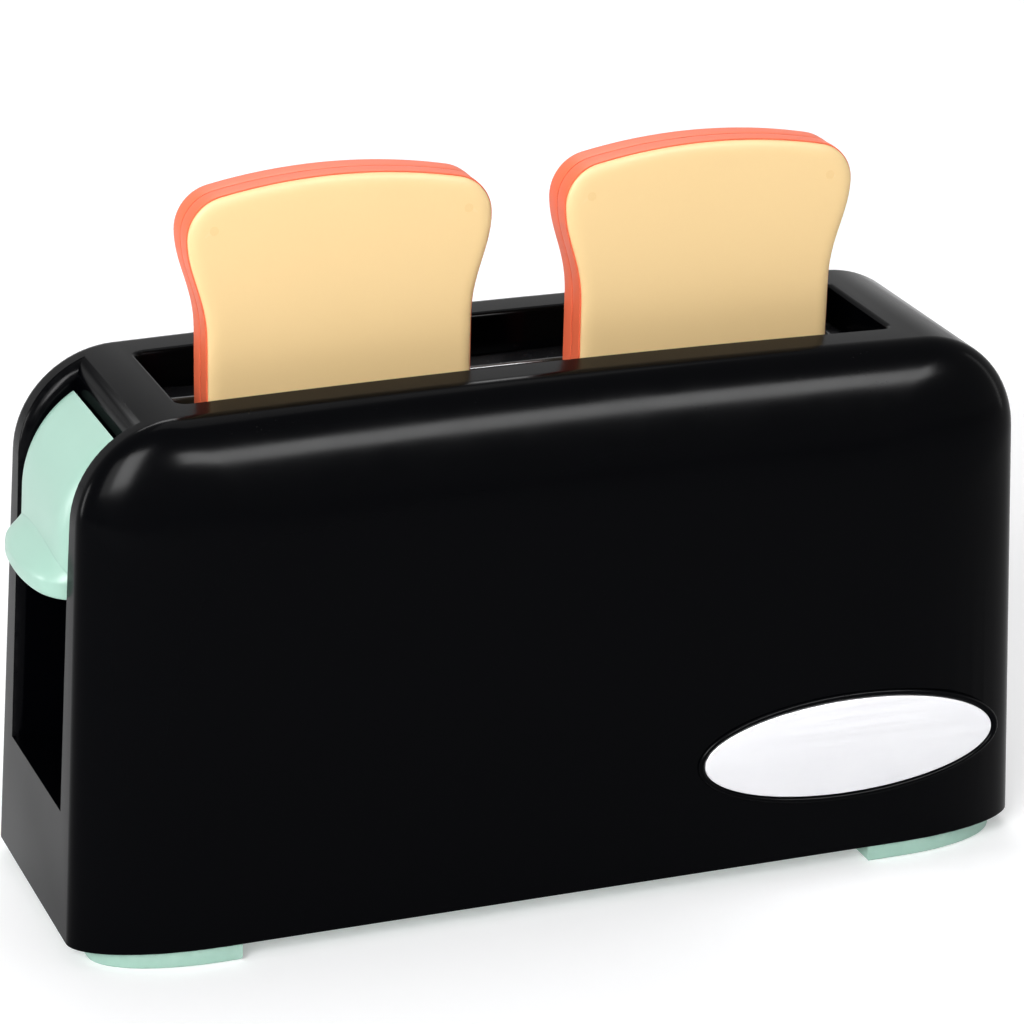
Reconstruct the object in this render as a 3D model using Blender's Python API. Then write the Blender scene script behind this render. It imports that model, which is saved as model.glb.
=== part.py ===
"""Toy pop-up toaster with two loose slices of bread, modelled piece by piece at real size.

Metres, +Z up. X runs along the length with the lever at -X, the front faces -Y, the feet stand on Z = 0 and
the origin is at the middle of the footprint. Pressing the lever lowers a carriage that carries both slices,
and two springs round guide rods lift it again.
"""
import math

import bmesh
import bpy
from mathutils import Matrix, Vector

# Housing: the sizes that drive the rest
LENGTH = 0.2000             # end to end along the bottom edge
HEIGHT = 0.1040             # bottom edge to the top at mid length
FOOT_HEIGHT = 0.0038        # the housing's bottom edge stands this far off the table
END_LEAN = 0.0047           # each end leans in by this much over the height
CROWN = 0.0015              # the top is this much lower at its ends than in the middle
BAND_HALF_BOTTOM = 0.0242   # half width of the flat band round the ends and the top, at the bottom
BAND_HALF_TOP = 0.0215
FACE_INSET = 0.0280         # the front and rear faces start this far in from the ends and the top
FACE_BULGE = 0.0109         # and stand this far out from the band, with an elliptical fillet between
CORNER_RADIUS = 0.0206      # upper corners of the band
FACE_CORNER_RADIUS = 0.0150
WALL = 0.0022
BOTTOM = FOOT_HEIGHT

# Clearances
SEAT_GAP = 0.0003           # between pieces that are seated on or fixed in each other
RUN_GAP = 0.0007            # round the carriage where it slides
STOP_GAP = 0.0004           # left at the end of the stroke
OVERRUN = 0.0080            # how far a cutter passes the wall that it cuts

# Lever opening in the left end
LEVER_REACH = 0.0025        # the thumb lip stands out this far past the housing's end
CHANNEL_HALF = 0.0170
CHANNEL_DEPTH = 0.0153
CHANNEL_FLOOR = 0.0248      # above the bottom edge
CHANNEL_WALL = 0.0016

# Bread slot in the top, and the well below it
SLOT_END_FROM_ROD = 0.0045  # each end of the slot is this far from the guide rod beside it
SLOT_FROM_RIGHT = 0.0280    # from the slot to the housing's right end
SLOT_HALF_WIDTH = 0.0151
SLOT_CORNER = 0.0020
LIP_DEPTH = 0.0055
LIP_WALL = 0.0016
WELL_INSET = 0.0030         # each end of the well is this far inside the slot's end
WELL_HALF_WIDTH = 0.0091

# Slices of bread
SLICE_SINK = 0.0245         # their feet are this far below the housing's top, with the lever up
SLICE_HEIGHT = 0.0619
SLICE_THICKNESS = 0.0104
SLICE_END_GAP = 0.0048      # from a slice's shoulder to the slot's end
SLICE_SPLIT = 0.0148        # between the two slices' shoulders
SLICE_FLARE = 0.0038        # the shoulders stand out this far past the neck

# Carriage, rods and springs
TRAY_THICKNESS = 0.0020
ROD_RADIUS = 0.0015
BUSH_RADIUS = 0.0039        # of the carriage's bush round each rod
ARM_HALF_WIDTH = 0.0025
ARM_HEIGHT = 0.0060
LEVER_DROP = 0.0100         # the lever's lower edge is this far below the tray

# Worked out from the sizes above
LEFT_END = (LEVER_REACH - LENGTH) / 2
MIDDLE_X = LEFT_END + LENGTH / 2
RIGHT_END = LEFT_END + LENGTH
SLOT_LEFT = LEFT_END + CHANNEL_DEPTH + CHANNEL_WALL + RUN_GAP + BUSH_RADIUS + SLOT_END_FROM_ROD
SLOT_RIGHT = RIGHT_END - SLOT_FROM_RIGHT
SLOT_X = (SLOT_LEFT + SLOT_RIGHT) / 2
SLOT_HALF_LENGTH = (SLOT_RIGHT - SLOT_LEFT) / 2
WELL_HALF_LENGTH = SLOT_HALF_LENGTH - WELL_INSET
ROD_FROM_SLOT = SLOT_HALF_LENGTH + SLOT_END_FROM_ROD
SLICE_SHOULDER_HALF = (SLOT_HALF_LENGTH - SLICE_END_GAP - SLICE_SPLIT / 2) / 2
SLICE_NECK_HALF = SLICE_SHOULDER_HALF - SLICE_FLARE
SLICE_PITCH = SLICE_SPLIT + 2 * SLICE_SHOULDER_HALF
TOP_SHARE = CROWN / (LENGTH / 2) ** 2
LEAN_SHARE = END_LEAN / HEIGHT
TOP_Z = BOTTOM + HEIGHT
SLICE_BOTTOM = TOP_Z - SLICE_SINK
TRAY_TOP = SLICE_BOTTOM - SEAT_GAP
TRAY_BOTTOM = TRAY_TOP - TRAY_THICKNESS
ARM_TOP = TRAY_BOTTOM + ARM_HEIGHT
LEVER_BOTTOM = TRAY_BOTTOM - LEVER_DROP - BOTTOM    # above the bottom edge, with the lever up
TRAVEL = LEVER_BOTTOM - CHANNEL_FLOOR - STOP_GAP

# Facets
CORNER_STEPS = 9
TOP_STEPS = 3
FACE_STEPS = 7
ROUND_SIDES = 20
SMALL_SIDES = 12
ROUNDING_STEPS = 4          # in each corner of a rounded rectangle
HALF = 0.5
SMOOTH_ANGLE = math.radians(35)


def clear_scene():
    for old in list(bpy.data.objects):
        bpy.data.objects.remove(old, do_unlink=True)


def plastic(name, colour, roughness):
    return finish(name, colour, roughness, 0.0)


def finish(name, colour, roughness, metallic):
    found = bpy.data.materials.get(name)
    if found:
        return found
    made = bpy.data.materials.new(name)
    made.use_nodes = True
    shader = made.node_tree.nodes["Principled BSDF"]
    shader.inputs["Base Color"].default_value = (*colour, 1.0)
    shader.inputs["Roughness"].default_value = roughness
    shader.inputs["Metallic"].default_value = metallic
    made.diffuse_color = (*colour, 1.0)
    return made


def gloss_black():
    return plastic("gloss black moulding", (0.012, 0.012, 0.015), 0.12)


def satin_black():
    return plastic("satin black moulding", (0.020, 0.020, 0.022), 0.35)


def mint():
    return plastic("mint moulding", (0.48, 0.74, 0.63), 0.38)


def cream():
    return plastic("cream moulding", (0.95, 0.73, 0.38), 0.42)


def coral():
    return plastic("coral moulding", (0.95, 0.17, 0.08), 0.30)


def spring_steel():
    return finish("bright steel", (0.62, 0.62, 0.64), 0.25, 1.0)


def silver_foil():
    return finish("silver foil", (0.80, 0.80, 0.82), 0.32, 0.9)


def solid(name, mesh, look=None):
    """Turns a bmesh into an object with its faces pointing out. Without a look it is a hidden cutter."""
    bmesh.ops.recalc_face_normals(mesh, faces=mesh.faces)
    data = bpy.data.meshes.new(name)
    mesh.to_mesh(data)
    mesh.free()
    thing = bpy.data.objects.new(name, data)
    bpy.context.collection.objects.link(thing)
    if look is None:
        thing.hide_render = True
        thing.display_type = "WIRE"
        return thing
    data.materials.append(look)
    data.shade_smooth()
    data.set_sharp_from_angle(angle=SMOOTH_ANGLE)
    return thing


def loft(name, rings, look=None):
    """Closed solid through rings of as many points each, with a flat cap at both ends."""
    mesh = bmesh.new()
    loops = [[mesh.verts.new(point) for point in ring] for ring in rings]
    for near, far in zip(loops, loops[1:]):
        for i in range(len(near)):
            j = (i + 1) % len(near)
            mesh.faces.new((near[i], near[j], far[j], far[i]))
    mesh.faces.new(loops[0])
    mesh.faces.new(loops[-1])
    return solid(name, mesh, look)


def prism(name, outline, low, high, look=None):
    """Upright prism over an outline of (x, y) points."""
    return loft(name, [[(x, y, z) for x, y in outline] for z in (low, high)], look)


def box(name, x_range, y_range, z_range, look=None):
    (x0, x1), (y0, y1) = x_range, y_range
    return prism(name, [(x0, y0), (x1, y0), (x1, y1), (x0, y1)], *z_range, look)


def circle(x, y, radius, sides):
    """Points of a circle, a flat towards the axes so that mirrored pieces match."""
    turn = 2 * math.pi / sides
    return [(x + radius * math.cos(turn * (i + HALF)), y + radius * math.sin(turn * (i + HALF)))
            for i in range(sides)]


def post(name, x, y, radius, z_range, sides=SMALL_SIDES, look=None):
    return prism(name, circle(x, y, radius, sides), *z_range, look)


def combine(target, other, operation):
    """Adds the other solid to the target, or takes it away. The other one stays as a hidden guide."""
    step = target.modifiers.new(f"{operation.lower()} {other.name}", "BOOLEAN")
    step.operation = operation
    step.solver = "EXACT"
    step.object = other
    other.hide_render = True
    other.display_type = "WIRE"


def cut(target, *others):
    for other in others:
        combine(target, other, "DIFFERENCE")


def add(target, *others):
    for other in others:
        combine(target, other, "UNION")


def top_height(x):
    """Height of the crowned top above the bottom edge, x from the left end."""
    return HEIGHT - TOP_SHARE * (x - LENGTH / 2) ** 2


def band_half(z):
    """Half width of the flat band at z above the bottom edge."""
    return BAND_HALF_BOTTOM - (BAND_HALF_BOTTOM - BAND_HALF_TOP) * z / HEIGHT


def arch(inset, radius, bottom):
    """Side outline drawn in by the inset, as (x from the left end, z) from the lever end to the far end."""
    centre_x = inset + radius + LEAN_SHARE * (HEIGHT - inset - radius)
    centre_z = top_height(centre_x) - inset - radius
    start = math.pi - math.atan(LEAN_SHARE)
    end = math.pi / 2 + math.atan(2 * TOP_SHARE * (LENGTH / 2 - centre_x))
    half = [(inset + LEAN_SHARE * bottom, bottom)]
    for i in range(CORNER_STEPS + 1):
        angle = start + (end - start) * i / CORNER_STEPS
        half.append((centre_x + radius * math.cos(angle), centre_z + radius * math.sin(angle)))
    last_x = half[-1][0]
    for i in range(1, TOP_STEPS):
        x = last_x + (LENGTH / 2 - last_x) * i / TOP_STEPS
        half.append((x, top_height(x) - inset))
    crest = [(LENGTH / 2, HEIGHT - inset)]
    return half + crest + [(LENGTH - x, z) for x, z in reversed(half)]


def fillet_angles(inset, steps):
    """Ellipse angles whose normals turn by equal steps from the band to the face."""
    long_axis, short_axis = FACE_INSET - inset, FACE_BULGE - inset
    turns = [math.pi / 2 * i / steps for i in range(steps + 1)]
    return [math.atan2(short_axis * math.sin(t), long_axis * math.cos(t)) for t in turns]


def housing_form(name, inset, bottom, steps, look=None):
    """The housing's form drawn in by the inset: rings from the front face over the band to the rear face."""
    angles = fillet_angles(inset, steps)
    sides = [(-1, a) for a in reversed(angles)] + [(1, a) for a in angles]
    rings = []
    for side, angle in sides:
        drawn = (FACE_INSET - inset) * (1 - math.cos(angle))
        radius = CORNER_RADIUS - inset - (CORNER_RADIUS - FACE_CORNER_RADIUS) * drawn / FACE_INSET
        bulge = (FACE_BULGE - inset) * math.sin(angle)
        rings.append([(LEFT_END + x, side * (band_half(z) + bulge), BOTTOM + z)
                      for x, z in arch(inset + drawn, radius, bottom)])
    return loft(name, rings, look)


def plan_outline(inset, steps):
    """Outline of the housing's bottom edge drawn in by the inset, as (x, y) points."""
    corner = []
    for angle in reversed(fillet_angles(inset, steps)):
        x = inset + (FACE_INSET - inset) * (1 - math.cos(angle))
        corner.append((LEFT_END + x, BAND_HALF_BOTTOM + (FACE_BULGE - inset) * math.sin(angle)))
    left = corner + [(x, -y) for x, y in reversed(corner)]
    return left + [(2 * MIDDLE_X - x, y) for x, y in reversed(left)]


def rounded_rectangle(x, half_x, half_y, radius):
    points = []
    for quarter, (sx, sy) in enumerate(((1, 1), (-1, 1), (-1, -1), (1, -1))):
        for i in range(ROUNDING_STEPS + 1):
            angle = math.pi / 2 * (quarter + i / ROUNDING_STEPS)
            points.append((x + sx * (half_x - radius) + radius * math.cos(angle),
                           sy * (half_y - radius) + radius * math.sin(angle)))
    return points


# Badge: a bare oval plate in a raised rim, low on the right of the front face
BADGE_HALF_LENGTH = 0.0315
BADGE_HALF_HEIGHT = 0.0100
BADGE_FROM_RIGHT = 0.0414
BADGE_RISE = 0.0229         # its middle above the bottom edge
BADGE_PLATE = 0.0007
BADGE_RIM = 0.0015
BADGE_RIM_HEIGHT = 0.0006
BADGE_RECESS = 0.0012
BADGE_BACKING = 0.0034      # how far the pad under the badge goes in behind the face
BADGE_SIDES = 48
BADGE_RIM_STEPS = 3
BADGE_EDGE = 0.00023        # the plate's rounded edge


def badge_ring(spare, out):
    """Oval round the badge, this much larger than the plate and this far out from the front face."""
    tilt = math.atan((BAND_HALF_BOTTOM - BAND_HALF_TOP) / HEIGHT)
    middle = Vector((RIGHT_END - BADGE_FROM_RIGHT, -band_half(BADGE_RISE) - FACE_BULGE, BOTTOM + BADGE_RISE))
    up = Vector((0, math.sin(tilt), math.cos(tilt)))
    outward = Vector((0, -math.cos(tilt), math.sin(tilt)))
    points = []
    for i in range(BADGE_SIDES):
        angle = 2 * math.pi * i / BADGE_SIDES
        along = (BADGE_HALF_LENGTH + spare) * math.cos(angle)
        rise = (BADGE_HALF_HEIGHT + spare) * math.sin(angle)
        points.append(middle + Vector((along, 0, 0)) + rise * up + out * outward)
    return points


def badge_pad():
    """Pad that carries the rim, with its outer edge rounded."""
    rings = [badge_ring(BADGE_RIM, -BADGE_BACKING)]
    for i in range(BADGE_RIM_STEPS + 1):
        angle = math.pi / 2 * i / BADGE_RIM_STEPS
        spare = BADGE_RIM - BADGE_RIM_HEIGHT * (1 - math.cos(angle))
        rings.append(badge_ring(spare, BADGE_RIM_HEIGHT * math.sin(angle)))
    return loft("badge pad", rings)


def badge_recess():
    floor = BADGE_RIM_HEIGHT - BADGE_RECESS
    return loft("badge recess", [badge_ring(SEAT_GAP, floor), badge_ring(SEAT_GAP, OVERRUN)])


def badge_plate():
    low = BADGE_RIM_HEIGHT - BADGE_RECESS + SEAT_GAP
    high = low + BADGE_PLATE
    rings = [badge_ring(0, low), badge_ring(0, high - BADGE_EDGE), badge_ring(-BADGE_EDGE, high)]
    return loft("badge_plate", rings, silver_foil())


# Screws: a pan head and a plain shank each
SCREW_HEAD_SHARE = 0.60     # head height as a share of its radius
HEAD_STEPS = 2


def screw(name, x, y, seat, head_radius, shank_radius, length):
    """Screw driven upwards: its head lies below the seat and its shank reaches the length above it."""
    head = head_radius * SCREW_HEAD_SHARE
    radii = [(head_radius * math.cos(math.pi / 2 * i / (HEAD_STEPS + 1)),
              seat - head / 2 - head / 2 * math.sin(math.pi / 2 * i / (HEAD_STEPS + 1)))
             for i in reversed(range(HEAD_STEPS + 1))]
    radii += [(head_radius, seat), (shank_radius, seat), (shank_radius, seat + length - shank_radius),
              (shank_radius / 2, seat + length)]
    rings = [[(px, py, z) for px, py in circle(x, y, radius, SMALL_SIDES)] for radius, z in radii]
    return loft(name, rings, spring_steel())


# Base: a plate inside the bottom opening with four feet below it
BASE_RECESS = 0.0006
BASE_THICKNESS = 0.0022
BASE_TOP = BOTTOM + BASE_RECESS + BASE_THICKNESS
FOOT_END = 0.0040           # from the housing's end to the foot
FOOT_LENGTHS = {"left": 0.0280, "right": 0.0318}
FOOT_INSET = 0.0006         # from the front face to the foot
FOOT_DEPTH = 0.0125
FOOT_EDGE = 0.0008
FOOT_CORNER_STEPS = 5
RIB_WIDTH = 0.0014
RIB_HEIGHT = 0.0030
RIB_SPREAD = 0.0135         # the two long ribs' distance from the middle

# Screws that hold the base to bosses in the housing
BASE_SCREW_FROM_END = 0.0165
BASE_SCREW_FROM_FACE = 0.0086
BASE_SCREW_HEAD = 0.0028
BASE_SCREW_SHANK = 0.0014
BASE_SCREW_LENGTH = 0.0110
BOSS_WALL = 0.0018
BOSS_HEIGHT = 0.0200


def base_screw_places():
    columns = (("left", LEFT_END + BASE_SCREW_FROM_END), ("middle", MIDDLE_X),
               ("right", RIGHT_END - BASE_SCREW_FROM_END))
    spread = BAND_HALF_BOTTOM + FACE_BULGE - BASE_SCREW_FROM_FACE
    rows = (("front", -spread), ("rear", spread))
    return [(f"{row}_{column}", x, y) for column, x in columns for row, y in rows]


def base_bosses():
    """Posts for the base screws, each tied to the nearest wall by a rib."""
    made = []
    low = BASE_TOP + SEAT_GAP
    for label, x, y in base_screw_places():
        radius = BASE_SCREW_SHANK + SEAT_GAP + BOSS_WALL
        made.append(post(f"boss {label}", x, y, radius, (low, low + BOSS_HEIGHT)))
        wall_y = math.copysign(BAND_HALF_BOTTOM + FACE_BULGE, y)
        made.append(box(f"boss rib {label}", (x - BOSS_WALL / 2, x + BOSS_WALL / 2), sorted((y, wall_y)),
                        (low, low + BOSS_HEIGHT)))
    return made


def base_boss_holes():
    low = BASE_TOP - OVERRUN
    high = BASE_TOP + BASE_SCREW_LENGTH
    radius = BASE_SCREW_SHANK + SEAT_GAP
    return [post(f"boss hole {label}", x, y, radius, (low, high)) for label, x, y in base_screw_places()]


def foot_outline(word_x, side_y, inset):
    """One foot in plan: it follows the housing's rounded corner, drawn in by the inset."""
    half = BAND_HALF_BOTTOM + FACE_BULGE - FOOT_INSET - inset
    near, far = FOOT_END + inset, FOOT_END + FOOT_LENGTHS[word_x] - inset
    side_x = -1 if word_x == "right" else 1
    points = [(far, half)]
    for i in range(FOOT_CORNER_STEPS + 1):
        angle = math.pi / 2 * (1 - i / FOOT_CORNER_STEPS)
        x = FACE_INSET - (FACE_INSET - near) * math.cos(angle)
        points.append((x, BAND_HALF_BOTTOM + (half - BAND_HALF_BOTTOM) * math.sin(angle)))
    inner = half - FOOT_DEPTH + 2 * inset
    points += [(near, inner), (far, inner)]
    return [(MIDDLE_X - side_x * (LENGTH / 2 - x), side_y * y) for x, y in points]


def foot(name, word_x, side_y):
    """Foot pad: wide below the housing's edge, narrower where it joins the plate inside it."""
    levels = ((FOOT_EDGE, 0.0), (0.0, FOOT_EDGE), (0.0, BOTTOM - SEAT_GAP), (WALL, BOTTOM - SEAT_GAP),
              (WALL, BOTTOM + BASE_RECESS + BASE_THICKNESS / 2))
    rings = [[(x, y, z) for x, y in foot_outline(word_x, side_y, inset)] for inset, z in levels]
    return loft(name, rings)


def rod_places():
    return (("left", SLOT_X - ROD_FROM_SLOT), ("right", SLOT_X + ROD_FROM_SLOT))


SOCKET_WALL = 0.0018
SOCKET_FOOT = 0.0062        # height of the rod sockets on the base
SOCKET_FLOOR = 0.0010


def base():
    body = prism("base", plan_outline(WALL + SEAT_GAP, FACE_STEPS), BOTTOM + BASE_RECESS, BASE_TOP, mint())
    for word_x in FOOT_LENGTHS:
        for side_y, word_y in ((-1, "front"), (1, "rear")):
            add(body, foot(f"foot {word_y} {word_x}", word_x, side_y))
    for side in (-1, 1):
        rib_y = sorted((side * RIB_SPREAD, side * (RIB_SPREAD + RIB_WIDTH)))
        add(body, box(f"base rib {side}", (SLOT_X - SLOT_HALF_LENGTH, SLOT_X + SLOT_HALF_LENGTH), rib_y,
                      (BASE_TOP - BASE_THICKNESS / 2, BASE_TOP + RIB_HEIGHT)))
    socket_low = BOTTOM + BASE_RECESS + BASE_THICKNESS / 2
    for label, x in rod_places():
        radius = ROD_RADIUS + SEAT_GAP
        add(body, post(f"base socket {label}", x, 0, radius + SOCKET_WALL, (socket_low, BASE_TOP + SOCKET_FOOT)))
        cut(body, post(f"base socket bore {label}", x, 0, radius,
                       (BOTTOM + BASE_RECESS + SOCKET_FLOOR, BASE_TOP + OVERRUN)))
    seat = BOTTOM + BASE_RECESS
    for label, x, y in base_screw_places():
        cut(body, post(f"counterbore {label}", x, y, BASE_SCREW_HEAD + RUN_GAP, (-OVERRUN, seat)))
        cut(body, post(f"base hole {label}", x, y, BASE_SCREW_SHANK + SEAT_GAP, (-OVERRUN, BASE_TOP + OVERRUN)))
    return body


def base_screws():
    seat = BOTTOM + BASE_RECESS - SEAT_GAP
    for label, x, y in base_screw_places():
        screw(f"base_screw_{label}", x, y, seat, BASE_SCREW_HEAD, BASE_SCREW_SHANK, BASE_SCREW_LENGTH)


# Slot liner: a flange under the slot's lip and the walls of the well, with screw ears
LINER_WALL = 0.0014
FLANGE_THICKNESS = 0.0015
FLANGE_TUCK = 0.0008        # how far the flange goes under the lip at the slot's ends
LINER_TOP = TOP_Z - LIP_DEPTH - SEAT_GAP - 2 * CROWN
LINER_BELOW_TRAY = 0.0040   # its walls reach this far below the tray's lowest place
EAR_FROM_END = 0.0280       # from the slot's end
EAR_FROM_SIDE = 0.0044      # from the slot's side
LINER_SCREW_HEAD = 0.0024
LINER_SCREW_SHANK = 0.0011
LINER_SCREW_LENGTH = 0.0040
NIB_HALF_WIDTH = 0.0015
NIB_REACH = 0.0015
NIB_HEIGHT = 0.0038


def ear_places():
    along, across = SLOT_HALF_LENGTH - EAR_FROM_END, SLOT_HALF_WIDTH + EAR_FROM_SIDE
    return [(f"{row}_{column}", SLOT_X + side_x * along, side_y * across)
            for side_x, column in ((-1, "left"), (1, "right")) for side_y, row in ((-1, "front"), (1, "rear"))]


def slot_liner():
    flange = (LINER_TOP - FLANGE_THICKNESS, LINER_TOP)
    floor = TRAY_BOTTOM - TRAVEL - LINER_BELOW_TRAY
    body = prism("slot_liner", rounded_rectangle(SLOT_X, SLOT_HALF_LENGTH + FLANGE_TUCK,
                                                 SLOT_HALF_WIDTH + LIP_WALL, SLOT_CORNER), *flange, satin_black())
    for label, x, y in ear_places():
        reach = LINER_SCREW_HEAD + RUN_GAP
        add(body, post(f"ear {label}", x, y, reach, flange))
    add(body, prism("liner walls", rounded_rectangle(SLOT_X, WELL_HALF_LENGTH + LINER_WALL,
                                                     WELL_HALF_WIDTH + LINER_WALL, SLOT_CORNER),
                    floor, LINER_TOP - FLANGE_THICKNESS / 2))
    cut(body, prism("well", rounded_rectangle(SLOT_X, WELL_HALF_LENGTH, WELL_HALF_WIDTH, SLOT_CORNER / 2),
                    floor - OVERRUN, LINER_TOP + OVERRUN))
    slit = ARM_HALF_WIDTH + RUN_GAP
    cut(body, box("liner slits", (SLOT_X - WELL_HALF_LENGTH - OVERRUN, SLOT_X + WELL_HALF_LENGTH + OVERRUN),
                  (-slit, slit), (floor - OVERRUN, ARM_TOP + RUN_GAP)))
    for side in (-1, 1):
        nib_y = sorted((side * (WELL_HALF_WIDTH - NIB_REACH), side * (WELL_HALF_WIDTH + LINER_WALL / 2)))
        nib_top = LINER_TOP - FLANGE_THICKNESS / 2
        add(body, box(f"nib {side}", (SLOT_X - NIB_HALF_WIDTH, SLOT_X + NIB_HALF_WIDTH), nib_y,
                      (nib_top - NIB_HEIGHT, nib_top)))
    for label, x, y in ear_places():
        cut(body, post(f"ear hole {label}", x, y, LINER_SCREW_SHANK + SEAT_GAP,
                       (LINER_TOP - OVERRUN, LINER_TOP + OVERRUN)))
    return body


def liner_screws():
    seat = LINER_TOP - FLANGE_THICKNESS - SEAT_GAP
    for label, x, y in ear_places():
        screw(f"liner_screw_{label}", x, y, seat, LINER_SCREW_HEAD, LINER_SCREW_SHANK, LINER_SCREW_LENGTH)


# Carriage bush, which stops against the rod sockets in the housing
BUSH_OVER = 0.0012          # the bush stands out this far above and below the arm
BUSH_TOP = ARM_TOP + BUSH_OVER
BUSH_BOTTOM = TRAY_BOTTOM - BUSH_OVER
ROD_TOP = TOP_Z - WALL - 2 * CROWN - SEAT_GAP


def housing_cavity():
    """The hollow inside: the housing's form drawn in by the wall, less what stands in it."""
    hollow = housing_form("cavity", WALL, -OVERRUN, FACE_STEPS)
    past_top = TOP_Z + OVERRUN
    channel = CHANNEL_HALF + CHANNEL_WALL
    cut(hollow, box("channel shell", (LEFT_END - OVERRUN, LEFT_END + CHANNEL_DEPTH + CHANNEL_WALL),
                    (-channel, channel), (BOTTOM + CHANNEL_FLOOR - CHANNEL_WALL, past_top)))
    cut(hollow, prism("slot lip", rounded_rectangle(SLOT_X, SLOT_HALF_LENGTH + LIP_WALL,
                                                    SLOT_HALF_WIDTH + LIP_WALL, SLOT_CORNER + LIP_WALL),
                      LINER_TOP + SEAT_GAP, past_top))
    for label, x in rod_places():
        cut(hollow, post(f"rod socket {label}", x, 0, ROD_RADIUS + SEAT_GAP + SOCKET_WALL,
                         (BUSH_TOP + SEAT_GAP, past_top)))
    for label, x, y in ear_places():
        cut(hollow, post(f"liner boss {label}", x, y, LINER_SCREW_SHANK + SEAT_GAP + LIP_WALL,
                         (LINER_TOP + SEAT_GAP, past_top)))
    cut(hollow, *base_bosses())
    cut(hollow, badge_pad())
    return hollow


def housing():
    """One glossy moulding, open below, with the bread slot, the lever channel and the badge's rim."""
    shell = housing_form("housing", 0, 0, FACE_STEPS, gloss_black())
    add(shell, badge_pad())
    cut(shell, housing_cavity())
    past_top = TOP_Z + OVERRUN
    cut(shell, box("lever channel", (LEFT_END - OVERRUN, LEFT_END + CHANNEL_DEPTH),
                   (-CHANNEL_HALF, CHANNEL_HALF), (BOTTOM + CHANNEL_FLOOR, past_top)))
    cut(shell, prism("bread slot", rounded_rectangle(SLOT_X, SLOT_HALF_LENGTH, SLOT_HALF_WIDTH, SLOT_CORNER),
                     LINER_TOP - OVERRUN, past_top))
    slit = ARM_HALF_WIDTH + RUN_GAP
    cut(shell, box("arm slit", (LEFT_END + CHANNEL_DEPTH - OVERRUN, LEFT_END + CHANNEL_DEPTH + 2 * CHANNEL_WALL),
                   (-slit, slit), (TRAY_BOTTOM - TRAVEL - RUN_GAP, ARM_TOP + RUN_GAP)))
    for label, x in rod_places():
        cut(shell, post(f"rod bore {label}", x, 0, ROD_RADIUS + SEAT_GAP, (BUSH_TOP - OVERRUN, ROD_TOP)))
    for label, x, y in ear_places():
        cut(shell, post(f"liner bore {label}", x, y, LINER_SCREW_SHANK + SEAT_GAP,
                        (LINER_TOP - OVERRUN, LINER_TOP - FLANGE_THICKNESS + LINER_SCREW_LENGTH)))
    cut(shell, *base_boss_holes())
    cut(shell, badge_recess())
    return shell


def guide_rods():
    low = BOTTOM + BASE_RECESS + SOCKET_FLOOR + SEAT_GAP
    for label, x in rod_places():
        post(f"guide_rod_{label}", x, 0, ROD_RADIUS, (low, ROD_TOP - SEAT_GAP), SMALL_SIDES, spring_steel())


# Return springs, one round each rod between the base and the carriage
SPRING_TURNS = 10
SPRING_POINTS = 9
SPRING_WIRE = 0.0004
SPRING_RADIUS = 0.0030


def return_springs():
    low = BASE_TOP + SOCKET_FOOT + SEAT_GAP + SPRING_WIRE
    high = BUSH_BOTTOM - SEAT_GAP - SPRING_WIRE
    count = SPRING_TURNS * SPRING_POINTS
    for label, x in rod_places():
        path = bpy.data.curves.new(f"return_spring_{label}", "CURVE")
        path.dimensions = "3D"
        path.bevel_depth = SPRING_WIRE
        path.bevel_resolution = 1
        path.use_fill_caps = True
        line = path.splines.new("POLY")
        line.points.add(count)
        for i, point in enumerate(line.points):
            angle = 2 * math.pi * i / SPRING_POINTS
            point.co = (x + SPRING_RADIUS * math.cos(angle), SPRING_RADIUS * math.sin(angle),
                        low + (high - low) * i / count, 1)
        spring = bpy.data.objects.new(path.name, path)
        bpy.context.collection.objects.link(spring)
        path.materials.append(spring_steel())
    rise = (high - low) / SPRING_TURNS
    print("least gap between a spring's turns, mm:", round((rise - 2 * SPRING_WIRE) * 1000, 2))


# Carriage: a tray with a pocket for each slice, arms at both ends and a tongue for the lever
POCKET_HEIGHT = 0.0080
POCKET_WALL = 0.0013
POCKET_GAP = 0.0005
DIVIDER_HALF = 0.0008
TONGUE_REACH = 0.0070       # the tongue goes this far past the channel's rear wall into the channel
LEVER_SCREW_HEAD = 0.0019
LEVER_SCREW_SHANK = 0.0010
LEVER_SCREW_LENGTH = 0.0052
LEVER_SCREW_FROM_WALL = 0.0040
SOCKET_SKIN = 0.0017        # wall of the lever's socket round the tongue


def slice_places():
    return (("left", SLOT_X - SLICE_PITCH / 2), ("right", SLOT_X + SLICE_PITCH / 2))


def lever_screw_x():
    return LEFT_END + CHANNEL_DEPTH - LEVER_SCREW_FROM_WALL


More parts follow.
